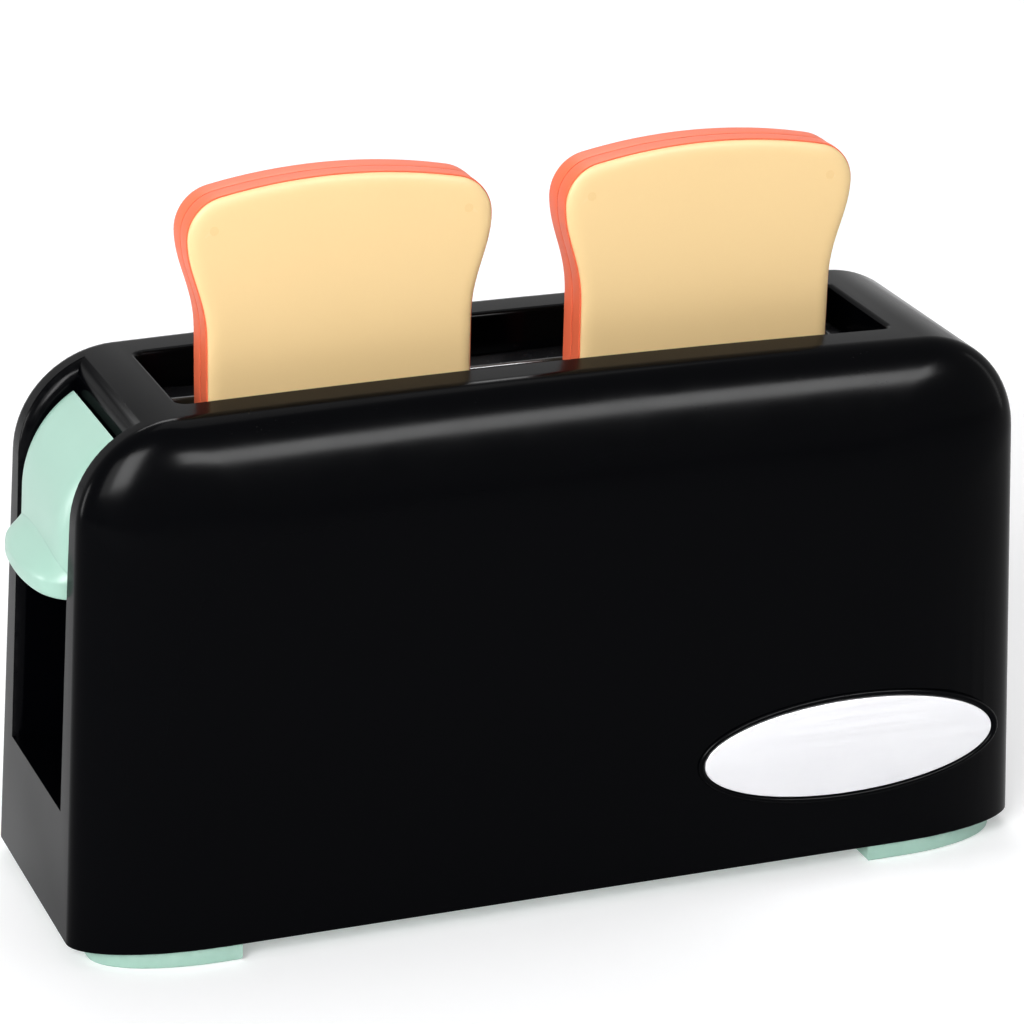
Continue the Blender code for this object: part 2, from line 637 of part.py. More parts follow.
def carriage():
    half_length, half_width = WELL_HALF_LENGTH - RUN_GAP, WELL_HALF_WIDTH - RUN_GAP
    body = prism("carriage", rounded_rectangle(SLOT_X, half_length, half_width, SLOT_CORNER / 2),
                 TRAY_BOTTOM, TRAY_TOP, satin_black())
    rim_x, rim_y = SLICE_NECK_HALF + POCKET_GAP, SLICE_THICKNESS / 2 + POCKET_GAP
    for label, x in slice_places():
        add(body, box(f"pocket wall {label}", (x - rim_x - POCKET_WALL, x + rim_x + POCKET_WALL),
                      (-rim_y - POCKET_WALL, rim_y + POCKET_WALL),
                      (TRAY_TOP - TRAY_THICKNESS / 2, TRAY_TOP + POCKET_HEIGHT)))
        cut(body, box(f"pocket {label}", (x - rim_x, x + rim_x), (-rim_y, rim_y),
                      (TRAY_TOP, TRAY_TOP + POCKET_HEIGHT + OVERRUN)))
    inner = SLICE_PITCH / 2 - rim_x - POCKET_WALL / 2
    add(body, box("divider", (SLOT_X - inner, SLOT_X + inner), (-DIVIDER_HALF, DIVIDER_HALF),
                  (TRAY_TOP - TRAY_THICKNESS / 2, TRAY_TOP + POCKET_HEIGHT)))
    tray_end = WELL_HALF_LENGTH - RUN_GAP - ARM_HEIGHT / 2
    tongue_tip = LEFT_END + CHANNEL_DEPTH - TONGUE_REACH
    arms = (("left", (tongue_tip, SLOT_X - tray_end)), ("right", (SLOT_X + tray_end, SLOT_X + ROD_FROM_SLOT)))
    for label, x_range in arms:
        add(body, box(f"arm {label}", x_range, (-ARM_HALF_WIDTH, ARM_HALF_WIDTH), (TRAY_BOTTOM, ARM_TOP)))
    for label, x in rod_places():
        add(body, post(f"bush {label}", x, 0, BUSH_RADIUS, (BUSH_BOTTOM, BUSH_TOP), ROUND_SIDES))
        cut(body, post(f"bush bore {label}", x, 0, ROD_RADIUS + SEAT_GAP, (BUSH_BOTTOM - OVERRUN,
                                                                          BUSH_TOP + OVERRUN)))
    cut(body, post("tongue hole", lever_screw_x(), 0, LEVER_SCREW_SHANK + SEAT_GAP,
                   (TRAY_BOTTOM - OVERRUN, TRAY_BOTTOM + LEVER_SCREW_LENGTH)))
    return body


# Lever: a curved plate that fills the channel's upper part, with a scooped thumb lip
LEVER_GAP = 0.0005          # to each side of the channel
LEVER_SINK = 0.0002         # its edges lie this far inside the housing's end
LEVER_CROWN = 0.0013        # its middle stands this far out from its edges
LEVER_CROWN_TOP = 0.0003
BEND_DROP = 0.0240          # the plate is straight up to this far below the housing's top
LEVER_RADIUS = 0.0212
LEVER_TOP_GAP = 0.0015      # from its upper edge to the channel's rear wall
LEVER_THICKNESS = 0.0022
LEVER_EDGE = 0.0015
LIP_HEIGHT = 0.0028         # the thumb lip reaches furthest out up to this height above its lower edge
SCOOP_EDGE_RISE = 0.0034    # the scoop starts this far above the lower edge at the sides
SCOOP_MIDDLE_RISE = 0.0050  # and this much higher in the middle
LIP_ROUND = 0.0012
LIP_ROUND_SHARES = (0.0, 0.3, 1.0)
LEVER_COLUMNS = 12
LEVER_ARC_ROWS = 8
SCOOP_ROWS = 7
LEVER_BEND = HEIGHT - BEND_DROP


def lever_line():
    """The plate's edge from its lower end up: (x from the left end, z, outward normal) at each row."""
    lean = math.atan(LEAN_SHARE)
    flat = Vector((-math.cos(lean), math.sin(lean)))
    top_of_scoop = LEVER_BOTTOM + SCOOP_EDGE_RISE + SCOOP_MIDDLE_RISE
    heights = [LEVER_BOTTOM + LIP_ROUND * share for share in LIP_ROUND_SHARES]
    scoop_from = LEVER_BOTTOM + LIP_HEIGHT
    heights += [scoop_from + (top_of_scoop - scoop_from) * i / SCOOP_ROWS for i in range(SCOOP_ROWS + 1)]
    line = [(Vector((LEAN_SHARE * z + LEVER_SINK, z)), flat) for z in heights]
    knee = Vector((LEAN_SHARE * LEVER_BEND + LEVER_SINK, LEVER_BEND))
    centre = knee - LEVER_RADIUS * flat
    end = math.acos((centre.x - CHANNEL_DEPTH + LEVER_TOP_GAP) / LEVER_RADIUS)
    for i in range(LEVER_ARC_ROWS + 1):
        angle = lean + (end - lean) * i / LEVER_ARC_ROWS
        normal = Vector((-math.cos(angle), math.sin(angle)))
        line.append((centre + LEVER_RADIUS * normal, normal))
    return line


def lip_reach(z, across):
    """How far the thumb lip stands out from the plate at height z and at this share of the half width."""
    bow = math.sqrt(max(0.0, 1 - across ** 2))
    start = LEVER_BOTTOM + SCOOP_EDGE_RISE + SCOOP_MIDDLE_RISE * bow
    low = LEVER_BOTTOM + LIP_HEIGHT
    share = min(1.0, max(0.0, (start - z) / (start - low)))
    full = LEVER_REACH + LEAN_SHARE * LEVER_BOTTOM + LEVER_SINK - LEVER_CROWN
    reach = full * share ** 2 * (3 - 2 * share)
    under = min(1.0, max(0.0, 1 - (z - LEVER_BOTTOM) / LIP_ROUND))
    reach -= LIP_ROUND * (1 - math.sqrt(1 - under ** 2)) * share
    return reach * bow


def lever():
    """Lever plate with a uniform wall, and a socket behind it for the carriage's tongue."""
    half = CHANNEL_HALF - LEVER_GAP
    line = lever_line()
    top_z = line[-1][0].y
    edge_share = LEVER_EDGE / half
    columns = [math.sin(math.pi / 2 * (2 * j / LEVER_COLUMNS - 1)) for j in range(LEVER_COLUMNS + 1)]
    mesh = bmesh.new()
    skins = []
    for inward in (0.0, LEVER_THICKNESS):
        grid = []
        for place, normal in line:
            climb = min(1.0, max(0.0, (place.y - LEVER_BEND) / (top_z - LEVER_BEND)))
            crown = LEVER_CROWN + (LEVER_CROWN_TOP - LEVER_CROWN) * climb
            row = []
            for across in columns:
                near_edge = max(0.0, (abs(across) - 1 + edge_share) / edge_share)
                rounded = LEVER_EDGE * (1 - math.sqrt(1 - near_edge ** 2)) if inward == 0 else 0
                out = crown * (1 - across ** 4) - rounded - inward
                x = place.x + out * normal.x - lip_reach(place.y, across)
                x = min(x, CHANNEL_DEPTH - RUN_GAP)
                row.append(mesh.verts.new((LEFT_END + x, across * half, BOTTOM + place.y + out * normal.y)))
            grid.append(row)
        skins.append(grid)
    outer, inner = skins
    rows, last = len(line) - 1, LEVER_COLUMNS
    for grid in skins:
        for i in range(rows):
            for j in range(last):
                mesh.faces.new((grid[i][j], grid[i][j + 1], grid[i + 1][j + 1], grid[i + 1][j]))
    for j in range(last):
        mesh.faces.new((outer[0][j], outer[0][j + 1], inner[0][j + 1], inner[0][j]))
        mesh.faces.new((outer[rows][j], outer[rows][j + 1], inner[rows][j + 1], inner[rows][j]))
    for i in range(rows):
        mesh.faces.new((outer[i][0], outer[i + 1][0], inner[i + 1][0], inner[i][0]))
        mesh.faces.new((outer[i][last], outer[i + 1][last], inner[i + 1][last], inner[i][last]))
    body = solid("lever", mesh, mint())
    fit = ARM_HALF_WIDTH + SEAT_GAP
    low, high = TRAY_BOTTOM - SEAT_GAP, ARM_TOP + SEAT_GAP
    mouth = LEFT_END + CHANNEL_DEPTH - RUN_GAP
    plate_x = LEFT_END + LEAN_SHARE * LEVER_BEND + LEVER_SINK
    add(body, box("lever socket", (plate_x, mouth), (-fit - SOCKET_SKIN, fit + SOCKET_SKIN),
                  (low - SOCKET_SKIN, high + SOCKET_SKIN)))
    tip = LEFT_END + CHANNEL_DEPTH - TONGUE_REACH - SEAT_GAP
    cut(body, box("tongue space", (tip, mouth + OVERRUN), (-fit, fit), (low, high)))
    cut(body, post("lever screw hole", lever_screw_x(), 0, LEVER_SCREW_SHANK + SEAT_GAP,
                   (low - OVERRUN, TRAY_BOTTOM + ARM_HEIGHT / 2)))
    return body


def lever_screw():
    seat = TRAY_BOTTOM - 2 * SEAT_GAP - SOCKET_SKIN
    length = LEVER_SCREW_LENGTH + SOCKET_SKIN
    return screw("lever_screw", lever_screw_x(), 0, seat, LEVER_SCREW_HEAD, LEVER_SCREW_SHANK, length)


# Slice of bread: two crust halves that meet at the middle plane, and a crumb face let into each
SHOULDER_RADIUS = 0.0083
FLARE_HEIGHT = 0.0208       # below the shoulder, where the side curves out from the neck
FLARE_POWER = 1.25
SLICE_CORNER = 0.0030
CRUST_SEAM = 0.0005         # chamfer along the seam between the halves
CRUST_EDGE = 0.0003
CRUMB_THICKNESS = 0.0009
CRUMB_EDGE = 0.0007
CRUMB_INSET = 0.0020        # the crumb's spigot lies this far inside the outline
SPIGOT = 0.0010
PEG_RADIUS = 0.0015
PEG_LENGTH = 0.0022
PEG_FROM_SIDE = 0.0096      # inside the neck
PEG_LOW = 0.0120
PEG_FROM_TOP = 0.0139
CRUST_RISE = 0.0023         # the top's middle stands this far above the shoulders' upper ends
FLARE_STEPS = 6
SHOULDER_STEPS = 5
SLICE_TOP_STEPS = 4
SLICE_CORNER_STEPS = 3


def half_slice():
    """Right half of a slice's outline, from the middle of its foot to the middle of its top, as (x, z)."""
    points = []
    for i in range(SLICE_CORNER_STEPS + 1):
        angle = math.pi / 2 * (i / SLICE_CORNER_STEPS - 1)
        points.append((SLICE_NECK_HALF - SLICE_CORNER + SLICE_CORNER * math.cos(angle),
                       SLICE_CORNER + SLICE_CORNER * math.sin(angle)))
    drop = SHOULDER_RADIUS - SLICE_HEIGHT
    shoulder_x = SLICE_SHOULDER_HALF - SHOULDER_RADIUS
    shoulder_z = SLICE_HEIGHT - SHOULDER_RADIUS - CRUST_RISE
    for i in range(FLARE_STEPS):
        share = i / FLARE_STEPS
        swell = ((1 - math.cos(math.pi * share)) / 2) ** FLARE_POWER
        points.append((SLICE_NECK_HALF + (SLICE_SHOULDER_HALF - SLICE_NECK_HALF) * swell,
                       shoulder_z - FLARE_HEIGHT * (1 - share)))
    below = shoulder_z - SLICE_HEIGHT
    crown_radius = (SHOULDER_RADIUS ** 2 - shoulder_x ** 2 - below ** 2) / (2 * (below + SHOULDER_RADIUS))
    meet = math.atan2(shoulder_z - SLICE_HEIGHT + crown_radius, shoulder_x)
    for i in range(SHOULDER_STEPS + 1):
        angle = meet * i / SHOULDER_STEPS
        points.append((shoulder_x + SHOULDER_RADIUS * math.cos(angle),
                       shoulder_z + SHOULDER_RADIUS * math.sin(angle)))
    for i in range(1, SLICE_TOP_STEPS + 1):
        angle = meet + (math.pi / 2 - meet) * i / SLICE_TOP_STEPS
        points.append((crown_radius * math.cos(angle),
                       SLICE_HEIGHT - crown_radius + crown_radius * math.sin(angle)))
    return points


def slice_outline(inset):
    """Whole outline moved in by the inset along its normals."""
    half = half_slice()
    closed = half + [(-x, z) for x, z in reversed(half[:-1])]
    moved = []
    for i, (x, z) in enumerate(closed):
        before, after = closed[i - 1], closed[(i + 1) % len(closed)]
        along = Vector((after[0] - before[0], after[1] - before[1])).normalized()
        moved.append((x - inset * along.y, z + inset * along.x))
    return moved


def slice_solid(name, x, side, levels, look):
    """Solid through the slice's outline at each (inset, distance from the middle plane)."""
    rings = [[(x + px, side * y, SLICE_BOTTOM + pz) for px, pz in slice_outline(inset)] for inset, y in levels]
    return loft(name, rings, look)


def slice_of_bread(label, x):
    half = SLICE_THICKNESS / 2
    seam = SEAT_GAP / 2
    crust_face = half - CRUMB_THICKNESS - SEAT_GAP
    pocket_floor = crust_face - SPIGOT - SEAT_GAP
    crust_levels = ((CRUST_SEAM, seam), (0, seam + CRUST_SEAM), (0, crust_face - CRUST_EDGE),
                    (CRUST_EDGE, crust_face), (CRUMB_INSET - SEAT_GAP, crust_face),
                    (CRUMB_INSET - SEAT_GAP, pocket_floor))
    crumb_low = crust_face + SEAT_GAP
    crumb_levels = ((CRUMB_INSET, crust_face - SPIGOT), (CRUMB_INSET, crumb_low), (CRUST_EDGE, crumb_low),
                    (CRUST_EDGE, half - CRUMB_EDGE), (CRUST_EDGE + CRUMB_EDGE / 3, half - CRUMB_EDGE / 3),
                    (CRUST_EDGE + CRUMB_EDGE, half))
    for side, word in ((-1, "front"), (1, "rear")):
        crust = slice_solid(f"slice_{label}_crust_{word}", x, side, crust_levels, coral())
        slice_solid(f"slice_{label}_crumb_{word}", x, side, crumb_levels, cream())
        for place, (dx, dz) in enumerate(peg_places()):
            middle = (x + dx, SLICE_BOTTOM + dz)
            if side < 0:
                add(crust, peg(f"peg {label} {place}", middle, PEG_RADIUS, (-seam - CRUST_SEAM, PEG_LENGTH)))
            else:
                cut(crust, peg(f"peg hole {label} {place}", middle, PEG_RADIUS + SEAT_GAP,
                               (-OVERRUN, PEG_LENGTH + SEAT_GAP)))


def peg_places():
    spread = SLICE_NECK_HALF - PEG_FROM_SIDE
    return [(dx, dz) for dx in (-spread, spread) for dz in (PEG_LOW, SLICE_HEIGHT - PEG_FROM_TOP)]


def peg(name, middle, radius, y_range):
    outline = circle(*middle, radius, SMALL_SIDES)
    return loft(name, [[(x, y, z) for x, z in outline] for y in y_range])


def carry(name, place, members, parent=None):
    """Parents the members to an empty on the joint's axis, without moving them."""
    holder = bpy.data.objects.new(name, None)
    holder.location = place
    bpy.context.collection.objects.link(holder)
    here = Matrix.Translation(place)
    for member in members:
        member.parent = holder
        member.matrix_parent_inverse = here.inverted()
    if parent:
        holder.parent = parent
        holder.matrix_parent_inverse = Matrix.Translation(parent.location).inverted()
    return holder


def main():
    clear_scene()
    housing()
    badge_plate()
    slot_liner()
    liner_screws()
    base()
    base_screws()
    guide_rods()
    return_springs()
    carriage()
    lever()
    lever_screw()
    for label, x in slice_places():
        slice_of_bread(label, x)
    things = bpy.data.objects
    moving = [things[name] for name in ("carriage", "lever", "lever_screw")]
    slide = carry("carriage slide", Vector((SLOT_X, 0, TRAY_TOP)), moving)
    for label, x in slice_places():
        loaf = [thing for thing in things if thing.name.startswith(f"slice_{label}_")]
        carry(f"slice {label} lift", Vector((x, 0, SLICE_BOTTOM)), loaf, slide)


main()
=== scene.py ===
"""Looks of the toy toaster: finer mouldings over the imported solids, plastics, foil, steel and studio light.

Metres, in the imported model's frame: +X runs along the length away from the lever, the badge faces -Y, and
the feet stand on Z = 0.
"""

import math
from functools import cache

import bmesh
import bpy
from mathutils import Matrix, Vector


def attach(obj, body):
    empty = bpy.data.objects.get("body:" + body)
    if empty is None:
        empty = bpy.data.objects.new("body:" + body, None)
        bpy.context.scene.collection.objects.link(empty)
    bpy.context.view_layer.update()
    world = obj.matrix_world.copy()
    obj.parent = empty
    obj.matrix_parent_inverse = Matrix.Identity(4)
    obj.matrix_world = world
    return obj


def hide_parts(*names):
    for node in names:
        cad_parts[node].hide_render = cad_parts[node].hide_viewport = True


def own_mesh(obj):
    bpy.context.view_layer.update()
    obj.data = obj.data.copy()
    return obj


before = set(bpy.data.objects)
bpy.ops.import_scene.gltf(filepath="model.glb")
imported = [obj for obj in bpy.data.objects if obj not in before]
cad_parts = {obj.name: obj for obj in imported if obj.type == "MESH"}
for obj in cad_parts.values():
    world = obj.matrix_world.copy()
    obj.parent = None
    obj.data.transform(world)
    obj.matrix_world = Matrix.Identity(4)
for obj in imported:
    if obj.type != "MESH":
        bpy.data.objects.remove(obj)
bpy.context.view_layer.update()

# Housing: the sizes that drive the rest
LENGTH = 0.2000             # end to end along the bottom edge
HEIGHT = 0.1040             # bottom edge to the top at mid length
FOOT_HEIGHT = 0.0038        # the housing's bottom edge stands this far off the table
END_LEAN = 0.0047           # each end leans in by this much over the height
CROWN = 0.0015              # the top is this much lower at its ends than in the middle
BAND_HALF_BOTTOM = 0.0242   # half width of the flat band round the ends and the top, at the bottom
BAND_HALF_TOP = 0.0215
FACE_INSET = 0.0280         # the front and rear faces start this far in from the ends and the top
FACE_BULGE = 0.0109         # and stand this far out from the band, with an elliptical fillet between
CORNER_RADIUS = 0.0206      # upper corners of the band
FACE_CORNER_RADIUS = 0.0150
WALL = 0.0022
BOTTOM = FOOT_HEIGHT

# Clearances
SEAT_GAP = 0.0003           # between pieces that are seated on or fixed in each other
RUN_GAP = 0.0007            # round the carriage where it slides
STOP_GAP = 0.0004           # left at the end of the stroke
OVERRUN = 0.0080            # how far a cutter passes the wall that it cuts

# Lever opening in the left end
LEVER_REACH = 0.0025        # the thumb lip stands out this far past the housing's end
CHANNEL_HALF = 0.0170
CHANNEL_DEPTH = 0.0153
CHANNEL_FLOOR = 0.0248      # above the bottom edge
CHANNEL_WALL = 0.0016

# Bread slot in the top, and the well below it
SLOT_END_FROM_ROD = 0.0045  # each end of the slot is this far from the guide rod beside it
SLOT_FROM_RIGHT = 0.0280    # from the slot to the housing's right end
SLOT_HALF_WIDTH = 0.0151
SLOT_CORNER = 0.0020
LIP_DEPTH = 0.0055
LIP_WALL = 0.0016
WELL_INSET = 0.0030         # each end of the well is this far inside the slot's end
WELL_HALF_WIDTH = 0.0091

# Slices of bread
SLICE_SINK = 0.0245         # their feet are this far below the housing's top, with the lever up
SLICE_HEIGHT = 0.0619
SLICE_THICKNESS = 0.0104
SLICE_END_GAP = 0.0048      # from a slice's shoulder to the slot's end
SLICE_SPLIT = 0.0148        # between the two slices' shoulders
SLICE_FLARE = 0.0038        # the shoulders stand out this far past the neck

# Carriage, rods and springs
TRAY_THICKNESS = 0.0020
ROD_RADIUS = 0.0015
BUSH_RADIUS = 0.0039        # of the carriage's bush round each rod
ARM_HALF_WIDTH = 0.0025
ARM_HEIGHT = 0.0060
LEVER_DROP = 0.0100         # the lever's lower edge is this far below the tray

# Worked out from the sizes above
LEFT_END = (LEVER_REACH - LENGTH) / 2
MIDDLE_X = LEFT_END + LENGTH / 2
RIGHT_END = LEFT_END + LENGTH
SLOT_LEFT = LEFT_END + CHANNEL_DEPTH + CHANNEL_WALL + RUN_GAP + BUSH_RADIUS + SLOT_END_FROM_ROD
SLOT_RIGHT = RIGHT_END - SLOT_FROM_RIGHT
SLOT_X = (SLOT_LEFT + SLOT_RIGHT) / 2
SLOT_HALF_LENGTH = (SLOT_RIGHT - SLOT_LEFT) / 2
WELL_HALF_LENGTH = SLOT_HALF_LENGTH - WELL_INSET
ROD_FROM_SLOT = SLOT_HALF_LENGTH + SLOT_END_FROM_ROD
SLICE_SHOULDER_HALF = (SLOT_HALF_LENGTH - SLICE_END_GAP - SLICE_SPLIT / 2) / 2
SLICE_NECK_HALF = SLICE_SHOULDER_HALF - SLICE_FLARE
SLICE_PITCH = SLICE_SPLIT + 2 * SLICE_SHOULDER_HALF
TOP_SHARE = CROWN / (LENGTH / 2) ** 2
LEAN_SHARE = END_LEAN / HEIGHT
TOP_Z = BOTTOM + HEIGHT
SLICE_BOTTOM = TOP_Z - SLICE_SINK
TRAY_TOP = SLICE_BOTTOM - SEAT_GAP
TRAY_BOTTOM = TRAY_TOP - TRAY_THICKNESS
ARM_TOP = TRAY_BOTTOM + ARM_HEIGHT
LEVER_BOTTOM = TRAY_BOTTOM - LEVER_DROP - BOTTOM    # above the bottom edge, with the lever up
TRAVEL = LEVER_BOTTOM - CHANNEL_FLOOR - STOP_GAP

# Smoothness of the meshes
CORNER_STEPS = 20
TOP_STEPS = 14
FACE_STEPS = 18
SMALL_SIDES = 32
ROUNDING_STEPS = 8          # in each corner of a rounded rectangle
SIDE_STEPS = 30             # along the slot's long sides
MOUTH_STEPS = 5             # across a rounded mouth
HALF = 0.5
SMOOTH_ANGLE = math.radians(35)

# Rounding of the openings' edges
SLOT_ROUND = 0.0010
MOUTH_ROUND_LOW = 0.0013
MOUTH_ROUND_HIGH = 0.0026
MOUTH_TURN_SHARE = 0.88     # how much of the quarter turn the rounding takes
MOUTH_ROWS = 40


# Building blocks

def empty_mesh(name, mesh):
    """Turns a bmesh into an object with its faces pointing out."""
    bmesh.ops.recalc_face_normals(mesh, faces=mesh.faces)
    data = bpy.data.meshes.new(name)
    mesh.to_mesh(data)
    mesh.free()
    thing = bpy.data.objects.new(name, data)
    bpy.context.scene.collection.objects.link(thing)
    return thing


def loft(name, rings, closed=False):
    """Solid through rings of as many points each: capped at both ends, or joined from last to first."""
    mesh = bmesh.new()
    loops = [[mesh.verts.new(point) for point in ring] for ring in rings]
    pairs = list(zip(loops, loops[1:]))
    if closed:
        pairs.append((loops[-1], loops[0]))
    else:
        mesh.faces.new(loops[0])
        mesh.faces.new(loops[-1])
    for near, far in pairs:
        for i in range(len(near)):
            j = (i + 1) % len(near)
            mesh.faces.new((near[i], near[j], far[j], far[i]))
    return empty_mesh(name, mesh)


def prism(name, outline, low, high):
    """Upright prism over an outline of (x, y) points."""
    return loft(name, [[(x, y, z) for x, y in outline] for z in (low, high)])


def box(name, x_range, y_range, z_range):
    (x0, x1), (y0, y1) = x_range, y_range
    return prism(name, [(x0, y0), (x1, y0), (x1, y1), (x0, y1)], *z_range)


def circle(x, y, radius, sides):
    """Points of a circle, a flat towards the axes so that mirrored pieces match."""
    turn = 2 * math.pi / sides
    return [(x + radius * math.cos(turn * (i + HALF)), y + radius * math.sin(turn * (i + HALF)))
            for i in range(sides)]


def post(name, x, y, radius, z_range, sides=SMALL_SIDES):
    return prism(name, circle(x, y, radius, sides), *z_range)


def turned(name, x, y, levels):
    """Round solid through a circle of each (radius, height)."""
    return loft(name, [[(px, py, z) for px, py in circle(x, y, radius, SMALL_SIDES)] for radius, z in levels])


def combine(target, others, operation):
    """Adds the other solids to the target, or takes them away, and removes them."""
    for other in others:
        step = target.modifiers.new(other.name, "BOOLEAN")
        step.operation = operation
        step.solver = "EXACT"
        step.object = other
    shape = target.evaluated_get(bpy.context.evaluated_depsgraph_get())
    done = bpy.data.meshes.new_from_object(shape)
    target.modifiers.clear()
    target.data = done
    for other in others:
        bpy.data.objects.remove(other, do_unlink=True)
    return target


def cut(target, *others):
    return combine(target, others, "DIFFERENCE")


def add(target, *others):
    return combine(target, others, "UNION")


def quarter_turn(steps):
    """Pairs (cosine, sine) at equal steps over a quarter turn."""
    angles = [math.pi / 2 * i / steps for i in range(steps + 1)]
    return [(math.cos(angle), math.sin(angle)) for angle in angles]


def join_rows(mesh, near, far):
    """Faces between two rows of as many vertices each."""
    for k in range(len(near) - 1):
        mesh.faces.new((near[k], near[k + 1], far[k + 1], far[k]))


# Masks that each mesh carries: its outer edges, for wear, and its hollows, for painted shade on plastics and
# tarnish on metals
EDGE_MASK = "edge_mask"
HOLLOW_MASK = "hollow_mask"
WIDE_FACE = 0.0045          # faces longer than this carry no edge mask
FIRST_TURN = math.radians(9)    # an edge that turns less than this counts as smooth
FULL_TURN = math.radians(26)


def mark_edges(data):
    """Keeps on the mesh how much each corner lies on an outer edge or in a hollow. Wide faces get neither
    mask.
    """
    shape = bmesh.new()
    shape.from_mesh(data)
    masks = [shape.loops.layers.float.new(name) for name in (EDGE_MASK, HOLLOW_MASK)]
    turns = {}
    for vert in shape.verts:
        angles = [edge.calc_face_angle_signed(0.0) for edge in vert.link_edges]
        turns[vert.index] = max(angles, key=abs, default=0.0)
    for face in shape.faces:
        wide = max(edge.calc_length() for edge in face.edges) > WIDE_FACE
        for loop in face.loops:
            turn = 0.0 if wide else turns[loop.vert.index]
            for mask, sign in zip(masks, (1, -1)):
                loop[mask] = min(1.0, max(0.0, (sign * turn - FIRST_TURN) / (FULL_TURN - FIRST_TURN)))
    shape.to_mesh(data)
    shape.free()


def dressed(thing, slot, body, *nodes):
    """Gives a finished mesh the look named by its slot, parents it to its body and hides the imported nodes
    it stands for.
    """
    thing.data.materials.clear()
    thing.data.materials.append(LOOKS[slot])
    mark_edges(thing.data)
    thing.data.shade_smooth()
    thing.data.set_sharp_from_angle(angle=SMOOTH_ANGLE)
    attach(thing, body)
    if nodes:
        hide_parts(*nodes)
    return thing


# Effects that several materials share: noise scales are in cells per metre, ranges are where a mask is cut
GRAIN_SCALE = 1400.0
WAVE_SCALE = 38.0
CLOUD_PER_WAVE = 2.3
CLOUD_RANGE = (0.32, 0.68)
HAIRLINE_TURNS = ((0.0, 0.5, 0.0), (0.3, -0.7, 0.4), (0.9, 0.15, -0.6))
HAIRLINE_STRETCH = (26.0, 900.0, 900.0)
HAIRLINE_BREAK_STRETCH = (60.0, 60.0, 60.0)
HAIRLINE_SPARSENESS = 0.72
HAIRLINE_RANGE = (0.0, 0.03)
HAIRLINE_BREAK_RANGE = (0.5, 0.62)
WEAR_SCALE = 420.0
WEAR_RANGE = (0.36, 0.66)
SPECK_SCALE = 900.0
SPECK_RANGE = (0.16, 0.07)
DUST_UPWARD_RANGE = (0.25, 0.95)
DUST_PATCH_SCALE = 95.0
DUST_PATCH_RANGE = (0.56, 0.70)
DUST_COLOUR = (0.42, 0.41, 0.40)
HOLLOW_SHARE = 0.7          # how much of a plastic's hollow colour the deepest hollow takes
WORN_ROUGHNESS = 0.12       # added on a rubbed edge
STAIN_SHARE = 0.45          # how much of its tarnish a metal takes in its clouds
METAL_HOLLOW_SHARE = 0.6    # and in its hollows
DRAWN_RANGE = (0.3, 0.7)
DRAWN_SMOOTHER = 0.06       # the drawn lines change a metal's roughness by this much down
DRAWN_ROUGHER = 0.08        # and up


def new_group(name, inputs, outputs):
    """Node group with named float inputs, given as name to default, and named outputs."""
    group = bpy.data.node_groups.new(name, "ShaderNodeTree")
    for label, value in inputs.items():
        socket = group.interface.new_socket(label, in_out="INPUT", socket_type="NodeSocketFloat")
        socket.default_value = value
    for label in outputs:
        group.interface.new_socket(label, in_out="OUTPUT", socket_type="NodeSocketFloat")
    return group, group.nodes.new("NodeGroupInput"), group.nodes.new("NodeGroupOutput")


def math_node(tree, operation, first, second):
    """Math node whose inputs are sockets or plain numbers."""
    node = tree.nodes.new("ShaderNodeMath")
    node.operation = operation
    for place, value in enumerate((first, second)):
        if isinstance(value, bpy.types.NodeSocket):
            tree.links.new(value, node.inputs[place])
        else:
            node.inputs[place].default_value = value
    return node.outputs["Value"]


def times(tree, first, second):
    return math_node(tree, "MULTIPLY", first, second)


def object_place(tree):
    return tree.nodes.new("ShaderNodeTexCoord").outputs["Object"]


def ranged(tree, value, low, high, out_low=0.0, out_high=1.0):
    """Maps a value from one range to another, held at both ends."""
    node = tree.nodes.new("ShaderNodeMapRange")
    tree.links.new(value, node.inputs["Value"])
    node.inputs["From Min"].default_value = low
    node.inputs["From Max"].default_value = high
    node.inputs["To Min"].default_value = out_low
    node.inputs["To Max"].default_value = out_high
    return node.outputs["Result"]


def noise(tree, place, scale, detail, roughness=0.5):
    node = tree.nodes.new("ShaderNodeTexNoise")
    tree.links.new(place, node.inputs["Vector"])
    node.inputs["Detail"].default_value = detail
    node.inputs["Roughness"].default_value = roughness
    if isinstance(scale, bpy.types.NodeSocket):
        tree.links.new(scale, node.inputs["Scale"])
    else:
        node.inputs["Scale"].default_value = scale
    return node.outputs["Fac"]


def stretched(tree, place, stretch, turn):
    node = tree.nodes.new("ShaderNodeMapping")
    node.inputs["Rotation"].default_value = turn
    node.inputs["Scale"].default_value = stretch
    tree.links.new(place, node.inputs["Vector"])
    return node.outputs["Vector"]


@cache
def moulding_grain():
    """Fine grain of moulded plastic: its height, a slow waviness, and a slow cloudiness of the gloss."""
    inputs = {"Grain Scale": GRAIN_SCALE, "Wave Scale": WAVE_SCALE}
    tree, into, out = new_group("moulding grain", inputs, ("Grain", "Wave", "Cloud"))
    place = object_place(tree)
    grain = noise(tree, place, into.outputs["Grain Scale"], 3.0)
    wave = noise(tree, place, into.outputs["Wave Scale"], 1.0)
    cloud_scale = times(tree, into.outputs["Wave Scale"], CLOUD_PER_WAVE)
    cloud = noise(tree, place, cloud_scale, 4.0, 0.6)
    tree.links.new(grain, out.inputs["Grain"])
    tree.links.new(wave, out.inputs["Wave"])
    tree.links.new(ranged(tree, cloud, *CLOUD_RANGE), out.inputs["Cloud"])
    return tree


